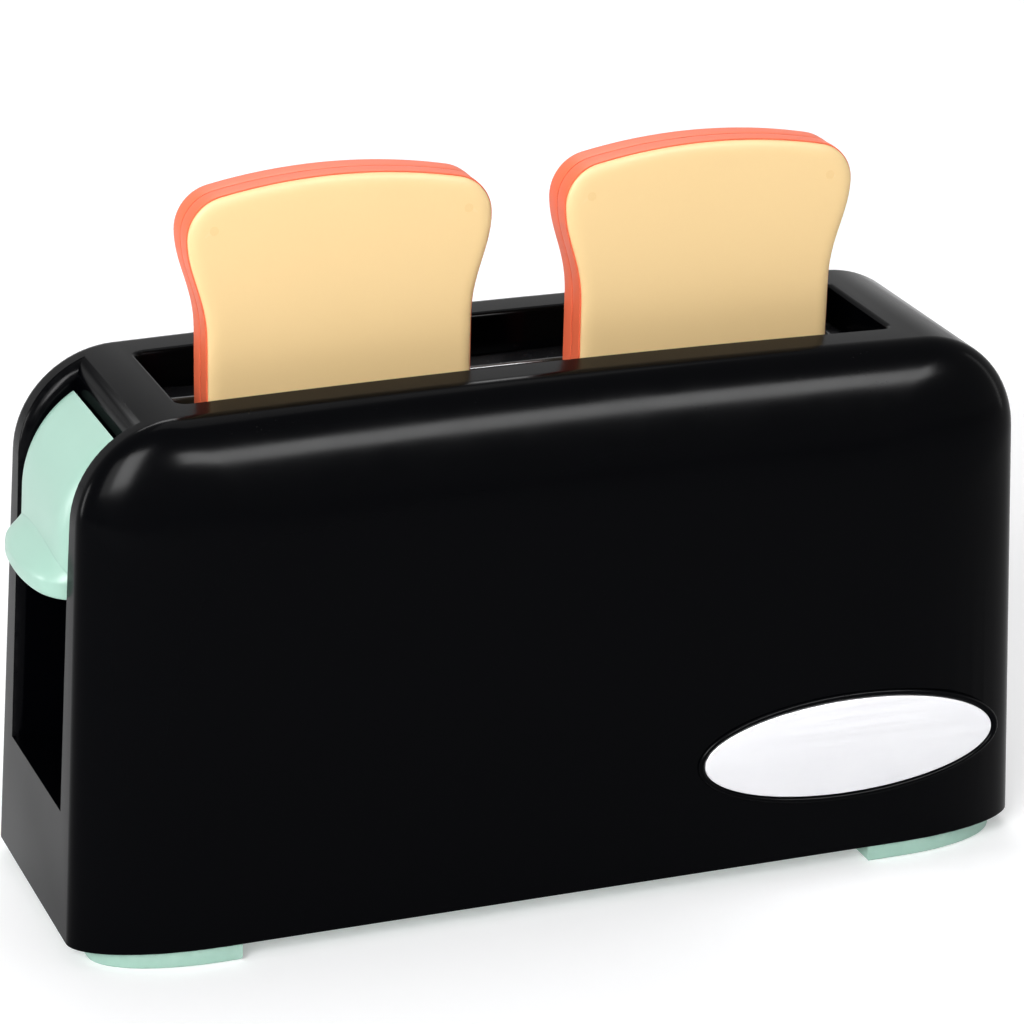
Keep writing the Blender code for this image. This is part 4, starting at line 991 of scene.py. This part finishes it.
def housing_cavity():
    """The hollow inside: the housing's form drawn in by the wall, less what stands in it."""
    hollow = housing_form("cavity", WALL, -OVERRUN, FACE_STEPS)
    past_top = TOP_Z + OVERRUN
    channel = CHANNEL_HALF + CHANNEL_WALL
    lip = rounded_rectangle(SLOT_X, SLOT_HALF_LENGTH + LIP_WALL, SLOT_HALF_WIDTH + LIP_WALL,
                            SLOT_CORNER + LIP_WALL)
    kept = [box("channel shell", (LEFT_END - OVERRUN, LEFT_END + CHANNEL_DEPTH + CHANNEL_WALL),
                (-channel, channel), (BOTTOM + CHANNEL_FLOOR - CHANNEL_WALL, past_top)),
            prism("slot lip", lip, LINER_TOP + SEAT_GAP, past_top),
            badge_pad()]
    for label, x in rod_places():
        kept.append(post(f"rod socket {label}", x, 0, ROD_RADIUS + SEAT_GAP + SOCKET_WALL,
                         (BUSH_TOP + SEAT_GAP, past_top)))
    for label, x, y in ear_places():
        kept.append(post(f"liner boss {label}", x, y, LINER_SCREW_SHANK + SEAT_GAP + LIP_WALL,
                         (LINER_TOP + SEAT_GAP, past_top)))
    return cut(hollow, *kept)


def housing():
    """One glossy moulding, open below, with rounded mouths at the bread slot and the lever channel."""
    shell = housing_form("housing_moulding", 0, 0, FACE_STEPS)
    add(shell, badge_pad())
    past_top = TOP_Z + OVERRUN
    spaces = [housing_cavity(),
              box("lever channel", (LEFT_END - OVERRUN, LEFT_END + CHANNEL_DEPTH),
                  (-CHANNEL_HALF, CHANNEL_HALF), (BOTTOM + CHANNEL_FLOOR, past_top)),
              channel_mouth(), slot_space(), badge_recess()]
    slit = ARM_HALF_WIDTH + RUN_GAP
    rear_wall = LEFT_END + CHANNEL_DEPTH
    spaces.append(box("arm slit", (rear_wall - OVERRUN, rear_wall + 2 * CHANNEL_WALL), (-slit, slit),
                      (TRAY_BOTTOM - TRAVEL - RUN_GAP, ARM_TOP + RUN_GAP)))
    for label, x in rod_places():
        spaces.append(post(f"rod bore {label}", x, 0, ROD_RADIUS + SEAT_GAP, (BUSH_TOP - OVERRUN, ROD_TOP)))
    cut(shell, *spaces)
    return dressed(shell, "gloss_black", "housing", "housing")


# Guide rods and return springs
SPRING_TURNS = 10
SPRING_POINTS = 28
SPRING_WIRE_SIDES = 10
SPRING_WIRE = 0.0004
SPRING_RADIUS = 0.0030
ROD_TAPER = 0.0004


def guide_rods():
    """Drawn steel rods with tapered ends."""
    low, high = BOTTOM + BASE_RECESS + SOCKET_FLOOR + SEAT_GAP, ROD_TOP - SEAT_GAP
    levels = ((ROD_RADIUS - ROD_TAPER, low), (ROD_RADIUS, low + ROD_TAPER), (ROD_RADIUS, high - ROD_TAPER),
              (ROD_RADIUS - ROD_TAPER, high))
    for label, x in rod_places():
        dressed(turned(f"guide_rod_{label}_drawn", x, 0, levels), "steel", "housing",
                f"guide_rod_{label}")


def return_springs():
    """Wound wire springs on the rods, from the base's sockets up to the carriage's bushes."""
    low = BASE_TOP + SOCKET_FOOT + SEAT_GAP + SPRING_WIRE
    high = BUSH_BOTTOM - SEAT_GAP - SPRING_WIRE
    count = SPRING_TURNS * SPRING_POINTS
    turns = [2 * math.pi * j / SPRING_WIRE_SIDES for j in range(SPRING_WIRE_SIDES)]
    for label, x in rod_places():
        rings = []
        for i in range(count + 1):
            angle = 2 * math.pi * i / SPRING_POINTS
            outward = Vector((math.cos(angle), math.sin(angle), 0))
            middle = Vector((x, 0, low + (high - low) * i / count)) + SPRING_RADIUS * outward
            rings.append([middle + SPRING_WIRE * (math.cos(t) * outward + Vector((0, 0, math.sin(t))))
                          for t in turns])
        coil = dressed(loft(f"return_spring_{label}_coil", rings), "steel", "housing",
                       f"return_spring_{label}")
        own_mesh(coil)


# Lever: a curved plate that fills the channel's upper part, with a scooped thumb lip
LEVER_GAP = 0.0005          # to each side of the channel
LEVER_SINK = 0.0002         # its edges lie this far inside the housing's end
LEVER_CROWN = 0.0013        # its middle stands this far out from its edges
LEVER_CROWN_TOP = 0.0003
LEVER_CROWN_POWER = 4       # the higher, the flatter its middle
BEND_DROP = 0.0240          # the plate is straight up to this far below the housing's top
LEVER_RADIUS = 0.0212
LEVER_TOP_GAP = 0.0015      # from its upper edge to the channel's rear wall
LEVER_THICKNESS = 0.0022
LIP_HEIGHT = 0.0028         # the thumb lip reaches furthest out up to this height above its lower edge
SCOOP_EDGE_RISE = 0.0034    # the scoop starts this far above the lower edge at the sides
SCOOP_MIDDLE_RISE = 0.0050  # and this much higher in the middle
LIP_ROUND = 0.0012
LIP_ROUND_SHARES = (0.0, 0.08, 0.2, 0.4, 0.7, 1.0)
SHOULDER_WIDTH = 0.0045     # the plate's rounded sides
SHOULDER_DROP = 0.0017
LEVER_COLUMNS = 44
LEVER_ARC_ROWS = 26
SCOOP_ROWS = 22
SCOOP_CLEAR = 0.0010        # the rows are level again this far above the scoop
SCOOP_CLEAR_ROWS = 7
PAD_DIP = 0.0005            # the lip's inner pad lies this much lower than its rim
PAD_SHARE = 0.80            # of the half width that the pad takes
LEVER_BEND = HEIGHT - BEND_DROP
TONGUE_REACH = 0.0070       # the tongue goes this far past the channel's rear wall into the channel
LEVER_SCREW_HEAD = 0.0019
LEVER_SCREW_SHANK = 0.0010
LEVER_SCREW_LENGTH = 0.0052
LEVER_SCREW_FROM_WALL = 0.0040
SOCKET_SKIN = 0.0017        # wall of the lever's socket round the tongue


def lever_line():
    """The plate's edge from its lower end up: each row's point, outward normal and its rise in the middle."""
    lean = math.atan(LEAN_SHARE)
    flat = Vector((-math.cos(lean), math.sin(lean)))
    top_of_scoop = LEVER_BOTTOM + SCOOP_EDGE_RISE + SCOOP_MIDDLE_RISE
    heights = [(LEVER_BOTTOM + LIP_ROUND * share, 0.0) for share in LIP_ROUND_SHARES]
    low, start = LEVER_BOTTOM + LIP_HEIGHT, LEVER_BOTTOM + SCOOP_EDGE_RISE
    for i in range(SCOOP_ROWS + 1):
        share = i / SCOOP_ROWS
        heights.append((low + (start - low) * share, SCOOP_MIDDLE_RISE * share))
    clear = top_of_scoop + SCOOP_CLEAR
    for i in range(1, SCOOP_CLEAR_ROWS + 1):
        share = i / SCOOP_CLEAR_ROWS
        heights.append((start + (clear - start) * share, SCOOP_MIDDLE_RISE * (1 - share)))
    line = [(Vector((LEAN_SHARE * z + LEVER_SINK, z)), flat, lift) for z, lift in heights]
    knee = Vector((LEAN_SHARE * LEVER_BEND + LEVER_SINK, LEVER_BEND))
    centre = knee - LEVER_RADIUS * flat
    end = math.acos((centre.x - CHANNEL_DEPTH + LEVER_TOP_GAP) / LEVER_RADIUS)
    for i in range(LEVER_ARC_ROWS + 1):
        angle = lean + (end - lean) * i / LEVER_ARC_ROWS
        normal = Vector((-math.cos(angle), math.sin(angle)))
        line.append((centre + LEVER_RADIUS * normal, normal, 0.0))
    return line


def lip_reach(z, across):
    """How far the thumb lip stands out from the plate at height z and at this share of the half width."""
    bow = math.sqrt(max(0.0, 1 - across ** 2))
    start = LEVER_BOTTOM + SCOOP_EDGE_RISE + SCOOP_MIDDLE_RISE * bow
    low = LEVER_BOTTOM + LIP_HEIGHT
    share = min(1.0, max(0.0, (start - z) / (start - low)))
    full = LEVER_REACH + LEAN_SHARE * LEVER_BOTTOM + LEVER_SINK - LEVER_CROWN
    reach = full * (smooth_step(share) + math.sin(math.pi / 2 * share)) / 2
    inside = max(0.0, 1 - (across / PAD_SHARE) ** 2) ** 2
    reach -= PAD_DIP * inside * 4 * share * (1 - share)
    under = min(1.0, max(0.0, 1 - (z - LEVER_BOTTOM) / LIP_ROUND))
    reach -= LIP_ROUND * (1 - math.sqrt(1 - under ** 2)) * share
    return reach * bow


def lever_screw_x():
    return LEFT_END + CHANNEL_DEPTH - LEVER_SCREW_FROM_WALL


def lever_skin(mesh, line, inward):
    """Rows of vertices over the plate's outer surface, or over the inner one, which lies inward of it."""
    half = CHANNEL_HALF - LEVER_GAP
    top_z = line[-1][0].y
    edge_share = SHOULDER_WIDTH / half
    columns = [math.sin(math.pi / 2 * (2 * j / LEVER_COLUMNS - 1)) for j in range(LEVER_COLUMNS + 1)]
    grid = []
    for edge, normal, lift in line:
        climb = min(1.0, max(0.0, (edge.y - LEVER_BEND) / (top_z - LEVER_BEND)))
        crown = LEVER_CROWN + (LEVER_CROWN_TOP - LEVER_CROWN) * climb
        row = []
        for across in columns:
            bow = math.sqrt(max(0.0, 1 - across ** 2))
            place = edge + lift * bow * Vector((LEAN_SHARE, 1))
            near_edge = max(0.0, (abs(across) - 1 + edge_share) / edge_share)
            rounded = SHOULDER_DROP * (1 - math.sqrt(1 - near_edge ** 2)) if inward == 0 else 0
            out = crown * (1 - across ** LEVER_CROWN_POWER) - rounded - inward
            x = place.x + out * normal.x - lip_reach(place.y, across)
            x = min(x, CHANNEL_DEPTH - RUN_GAP)
            row.append(mesh.verts.new((LEFT_END + x, across * half, BOTTOM + place.y + out * normal.y)))
        grid.append(row)
    return grid


def lever_plate():
    """The curved plate: its two skins and the edges between them."""
    mesh = bmesh.new()
    line = lever_line()
    outer, inner = [lever_skin(mesh, line, inward) for inward in (0.0, LEVER_THICKNESS)]
    rows, last = len(line) - 1, LEVER_COLUMNS
    for grid in (outer, inner):
        for near, far in zip(grid, grid[1:]):
            join_rows(mesh, near, far)
    for j in range(last):
        mesh.faces.new((outer[0][j], outer[0][j + 1], inner[0][j + 1], inner[0][j]))
        mesh.faces.new((outer[rows][j], outer[rows][j + 1], inner[rows][j + 1], inner[rows][j]))
    for i in range(rows):
        mesh.faces.new((outer[i][0], outer[i + 1][0], inner[i + 1][0], inner[i][0]))
        mesh.faces.new((outer[i][last], outer[i + 1][last], inner[i + 1][last], inner[i][last]))
    return empty_mesh("lever_moulding", mesh)


def lever():
    """Lever plate with a uniform wall, and a socket behind it for the carriage's tongue."""
    body = lever_plate()
    fit = ARM_HALF_WIDTH + SEAT_GAP
    low, high = TRAY_BOTTOM - SEAT_GAP, ARM_TOP + SEAT_GAP
    mouth = LEFT_END + CHANNEL_DEPTH - RUN_GAP
    plate_x = LEFT_END + LEAN_SHARE * LEVER_BEND + LEVER_SINK
    add(body, box("lever socket", (plate_x, mouth), (-fit - SOCKET_SKIN, fit + SOCKET_SKIN),
                  (low - SOCKET_SKIN, high + SOCKET_SKIN)))
    tip = LEFT_END + CHANNEL_DEPTH - TONGUE_REACH - SEAT_GAP
    cut(body, box("tongue space", (tip, mouth + OVERRUN), (-fit, fit), (low, high)))
    cut(body, post("lever screw hole", lever_screw_x(), 0, LEVER_SCREW_SHANK + SEAT_GAP,
                   (low - OVERRUN, TRAY_BOTTOM + ARM_HEIGHT / 2)))
    return dressed(body, "mint", "carriage", "lever")


def lever_screw():
    seat = TRAY_BOTTOM - 2 * SEAT_GAP - SOCKET_SKIN
    screw("lever_screw_cross", (lever_screw_x(), 0, seat), LEVER_SCREW_HEAD, LEVER_SCREW_SHANK,
          LEVER_SCREW_LENGTH + SOCKET_SKIN, "carriage")


# Slice of bread: two crust halves that meet at the middle plane, and a crumb face on each
SHOULDER_RADIUS = 0.0083
FLARE_HEIGHT = 0.0208       # below the shoulder, where the side curves out from the neck
FLARE_POWER = 1.25
SLICE_CORNER = 0.0030
CRUST_EDGE = 0.0003
CRUMB_THICKNESS = 0.0009
CRUST_RISE = 0.0023         # the top's middle stands this far above the shoulders' upper ends
FLARE_STEPS = 18
SHOULDER_STEPS = 14
SLICE_TOP_STEPS = 16
SLICE_CORNER_STEPS = 8
CRUST_GROOVE = 0.00013      # depth of the parting groove between the halves
CRUST_SOFT = 0.00006        # rounding towards the crumb
GROOVE_POWER = 6            # the higher, the narrower the groove
SOFT_POWER = 8
CRUST_STEPS = 10
CRUMB_ROUND = 0.00085       # depth of the soft border round the crumb
CRUMB_BORDER = 0.0026       # and its width
CRUMB_STEPS = 12
MARK_RADIUS = 0.0009        # ejector marks near the upper corners
MARK_DEPTH = 0.00005
MARK_FROM_SIDE = 0.0052
MARK_FROM_TOP = 0.0088


def slice_places():
    return (("left", SLOT_X - SLICE_PITCH / 2), ("right", SLOT_X + SLICE_PITCH / 2))


def half_slice():
    """Right half of a slice's outline, from the middle of its foot to the middle of its top, as (x, z)."""
    points = []
    for i in range(SLICE_CORNER_STEPS + 1):
        angle = math.pi / 2 * (i / SLICE_CORNER_STEPS - 1)
        points.append((SLICE_NECK_HALF - SLICE_CORNER + SLICE_CORNER * math.cos(angle),
                       SLICE_CORNER + SLICE_CORNER * math.sin(angle)))
    shoulder_x = SLICE_SHOULDER_HALF - SHOULDER_RADIUS
    shoulder_z = SLICE_HEIGHT - SHOULDER_RADIUS - CRUST_RISE
    for i in range(FLARE_STEPS):
        share = i / FLARE_STEPS
        swell = ((1 - math.cos(math.pi * share)) / 2) ** FLARE_POWER
        points.append((SLICE_NECK_HALF + (SLICE_SHOULDER_HALF - SLICE_NECK_HALF) * swell,
                       shoulder_z - FLARE_HEIGHT * (1 - share)))
    below = shoulder_z - SLICE_HEIGHT
    crown_radius = (SHOULDER_RADIUS ** 2 - shoulder_x ** 2 - below ** 2) / (2 * (below + SHOULDER_RADIUS))
    meet = math.atan2(shoulder_z - SLICE_HEIGHT + crown_radius, shoulder_x)
    for i in range(SHOULDER_STEPS + 1):
        angle = meet * i / SHOULDER_STEPS
        points.append((shoulder_x + SHOULDER_RADIUS * math.cos(angle),
                       shoulder_z + SHOULDER_RADIUS * math.sin(angle)))
    for i in range(1, SLICE_TOP_STEPS + 1):
        angle = meet + (math.pi / 2 - meet) * i / SLICE_TOP_STEPS
        points.append((crown_radius * math.cos(angle),
                       SLICE_HEIGHT - crown_radius + crown_radius * math.sin(angle)))
    return points


def slice_outline(inset):
    """Whole outline moved in by the inset along its normals."""
    half = half_slice()
    closed = half + [(-x, z) for x, z in reversed(half[:-1])]
    moved = []
    for i, (x, z) in enumerate(closed):
        before, after = closed[i - 1], closed[(i + 1) % len(closed)]
        along = Vector((after[0] - before[0], after[1] - before[1])).normalized()
        moved.append((x - inset * along.y, z + inset * along.x))
    return moved


def slice_solid(name, x, side, levels):
    """Solid through the slice's outline at each (inset, distance from the middle plane)."""
    return loft(name, [[(x + px, side * y, SLICE_BOTTOM + pz) for px, pz in slice_outline(inset)]
                       for inset, y in levels])


def slice_of_bread(label, x):
    """Crust halves with a full, rounded rim each, and crumb faces with a soft edge and two ejector marks."""
    half = SLICE_THICKNESS / 2
    seam = SEAT_GAP / 2
    crust_face = half - CRUMB_THICKNESS - SEAT_GAP
    body = f"slice_{label}"
    for side, word in ((-1, "front"), (1, "rear")):
        levels = []
        for i in range(CRUST_STEPS + 1):
            share = i / CRUST_STEPS
            inset = CRUST_GROOVE * (1 - share) ** GROOVE_POWER + CRUST_SOFT * share ** SOFT_POWER
            levels.append((inset, seam + (crust_face - seam) * share))
        crust = slice_solid(f"slice_{label}_crust_{word}_rim", x, side, levels)
        dressed(crust, "coral", body, f"slice_{label}_crust_{word}")
        low = crust_face + SEAT_GAP / 2
        levels = [(CRUST_EDGE, low)]
        levels += [(CRUST_EDGE + CRUMB_BORDER * (1 - cosine), half - CRUMB_ROUND * (1 - sine))
                   for cosine, sine in quarter_turn(CRUMB_STEPS)]
        crumb = slice_solid(f"slice_{label}_crumb_{word}_face", x, side, levels)
        for mark in (-1, 1):
            mark_x = x + mark * (SLICE_SHOULDER_HALF - MARK_FROM_SIDE)
            mark_z = SLICE_BOTTOM + SLICE_HEIGHT - MARK_FROM_TOP
            outline = circle(mark_x, mark_z, MARK_RADIUS, SMALL_SIDES)
            depth = sorted((side * (half - MARK_DEPTH), side * (half + OVERRUN)))
            cut(crumb, loft("ejector mark", [[(px, y, pz) for px, pz in outline] for y in depth]))
        dressed(crumb, "cream", body, f"slice_{label}_crumb_{word}")


# Solids that keep their own mesh and take a finish
CARRIED_OVER = {"carriage": "satin_black"}


def finish_carried_over():
    for node, look in CARRIED_OVER.items():
        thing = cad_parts[node]
        for place in range(len(thing.material_slots)):
            thing.material_slots[place].material = LOOKS[look]


# Camera: fitted to the photograph
CAMERA_PLACE = (-0.276093, -0.695108, 0.364246)
CAMERA_YAW = 0.378083752603324
CAMERA_PITCH = 0.3736186435340637
CAMERA_ROLL = -0.02437205358513946
CAMERA_LENS = 142.949
SENSOR = 36.0
NEAR_CLIP = 0.01


def camera():
    """Camera at the photograph's viewing angle."""
    level = math.cos(CAMERA_PITCH)
    forward = Vector((math.sin(CAMERA_YAW) * level, math.cos(CAMERA_YAW) * level, -math.sin(CAMERA_PITCH)))
    right = Vector((math.cos(CAMERA_YAW), -math.sin(CAMERA_YAW), 0))
    down = forward.cross(right)
    turned_right = math.cos(CAMERA_ROLL) * right + math.sin(CAMERA_ROLL) * down
    turned_down = -math.sin(CAMERA_ROLL) * right + math.cos(CAMERA_ROLL) * down
    data = bpy.data.cameras.new("photo_camera")
    data.lens = CAMERA_LENS
    data.sensor_width = SENSOR
    data.clip_start = NEAR_CLIP
    thing = bpy.data.objects.new("photo_camera", data)
    bpy.context.scene.collection.objects.link(thing)
    turn = Matrix((turned_right, -turned_down, -forward)).transposed().to_4x4()
    thing.matrix_world = Matrix.Translation(CAMERA_PLACE) @ turn
    bpy.context.scene.camera = thing


# Studio: a pale floor, a pale surround and soft boxes
FLOOR_HALF = 6.0
FLOOR_TONE = (0.86, 0.86, 0.87)
FLOOR_ROUGHNESS = 0.9
FLOOR_GLOW = 0.30           # its own light, only for the rays that see it
SURROUND_FILL = 0.30        # the surround's light on the toy, where it looks like 1
WHITE = (1.0, 1.0, 1.0, 1.0)
SOFT_BOXES = {
    # place, aim, width, height, watts per square metre of its face, whether it only draws highlights
    "key_box": ((-1.0, -1.0, 0.85), (0.0, 0.0, 0.08), 0.9, 0.8, 31.0, False),
    "top_box": ((0.2, 0.3, 1.8), (0.0, 0.0, 0.08), 0.9, 0.9, 8.0, False),
    "corner_box": ((-0.74, -0.98, 0.84), (-0.09, -0.03, 0.10), 0.42, 0.74, 120.0, True),
    "front_strip": ((0.46, -1.26, 0.90), (0.0, 0.0, 0.10), 1.1, 0.28, 165.0, True),
    "left_strip": ((-1.32, 0.42, 0.16), (-0.09, 0.0, 0.08), 0.24, 0.60, 60.0, True),
    "right_strip": ((1.25, -0.10, 0.30), (0.09, -0.02, 0.06), 0.10, 0.9, 12.0, True),
    "rear_box": ((0.30, 1.20, 1.40), (0.0, 0.0, 0.08), 0.8, 0.6, 13.0, False),
    "rear_strip": ((0.10, 1.05, 1.25), (0.0, 0.0, 0.10), 1.0, 0.20, 45.0, True),
}


def seen_directly(tree):
    """1 for rays that see a surface, directly, in a reflection or through glass, 0 for those that light."""
    path = tree.nodes.new("ShaderNodeLightPath")
    seen = math_node(tree, "MAXIMUM", path.outputs["Is Camera Ray"], path.outputs["Is Glossy Ray"])
    return math_node(tree, "MAXIMUM", seen, path.outputs["Is Transmission Ray"])


def surround():
    world = bpy.data.worlds.new("pale_surround")
    bpy.context.scene.world = world
    world.use_nodes = True
    tree = world.node_tree
    background = tree.nodes["Background"]
    background.inputs["Color"].default_value = WHITE
    strength = ranged(tree, seen_directly(tree), 0.0, 1.0, SURROUND_FILL, 1.0)
    tree.links.new(strength, background.inputs["Strength"])


def floor():
    """Pale floor that keeps the shadow and fades into the white surround. From below it isn't seen."""
    mesh = bmesh.new()
    corners = [(x * FLOOR_HALF, y * FLOOR_HALF, 0) for x, y in ((-1, -1), (1, -1), (1, 1), (-1, 1))]
    mesh.faces.new([mesh.verts.new(corner) for corner in corners])
    ground = empty_mesh("studio_floor", mesh)
    made, tree, shader = start_material("studio_paper", FLOOR_TONE, FLOOR_ROUGHNESS)
    shader.inputs["Specular IOR Level"].default_value = 0.0
    shader.inputs["Emission Color"].default_value = WHITE
    glow = times(tree, seen_directly(tree), FLOOR_GLOW)
    tree.links.new(glow, shader.inputs["Emission Strength"])
    below = tree.nodes.new("ShaderNodeNewGeometry").outputs["Backfacing"]
    tree.links.new(math_node(tree, "SUBTRACT", 1.0, below), shader.inputs["Alpha"])
    ground.data.materials.append(made)


def soft_boxes():
    for name, (place, aim, width, height, level, highlight_only) in SOFT_BOXES.items():
        data = bpy.data.lights.new(name, "AREA")
        data.shape = "RECTANGLE"
        data.size = width
        data.size_y = height
        data.energy = level * width * height
        thing = bpy.data.objects.new(name, data)
        bpy.context.scene.collection.objects.link(thing)
        thing.location = place
        thing.rotation_euler = (Vector(aim) - Vector(place)).to_track_quat("-Z", "Y").to_euler()
        thing.visible_diffuse = not highlight_only


def main():
    bpy.context.scene.view_settings.view_transform = "Standard"
    camera()
    surround()
    floor()
    soft_boxes()
    housing()
    badge_plate()
    slot_liner()
    liner_screws()
    base()
    base_screws()
    guide_rods()
    return_springs()
    lever()
    lever_screw()
    for label, x in slice_places():
        slice_of_bread(label, x)
    finish_carried_over()


main()
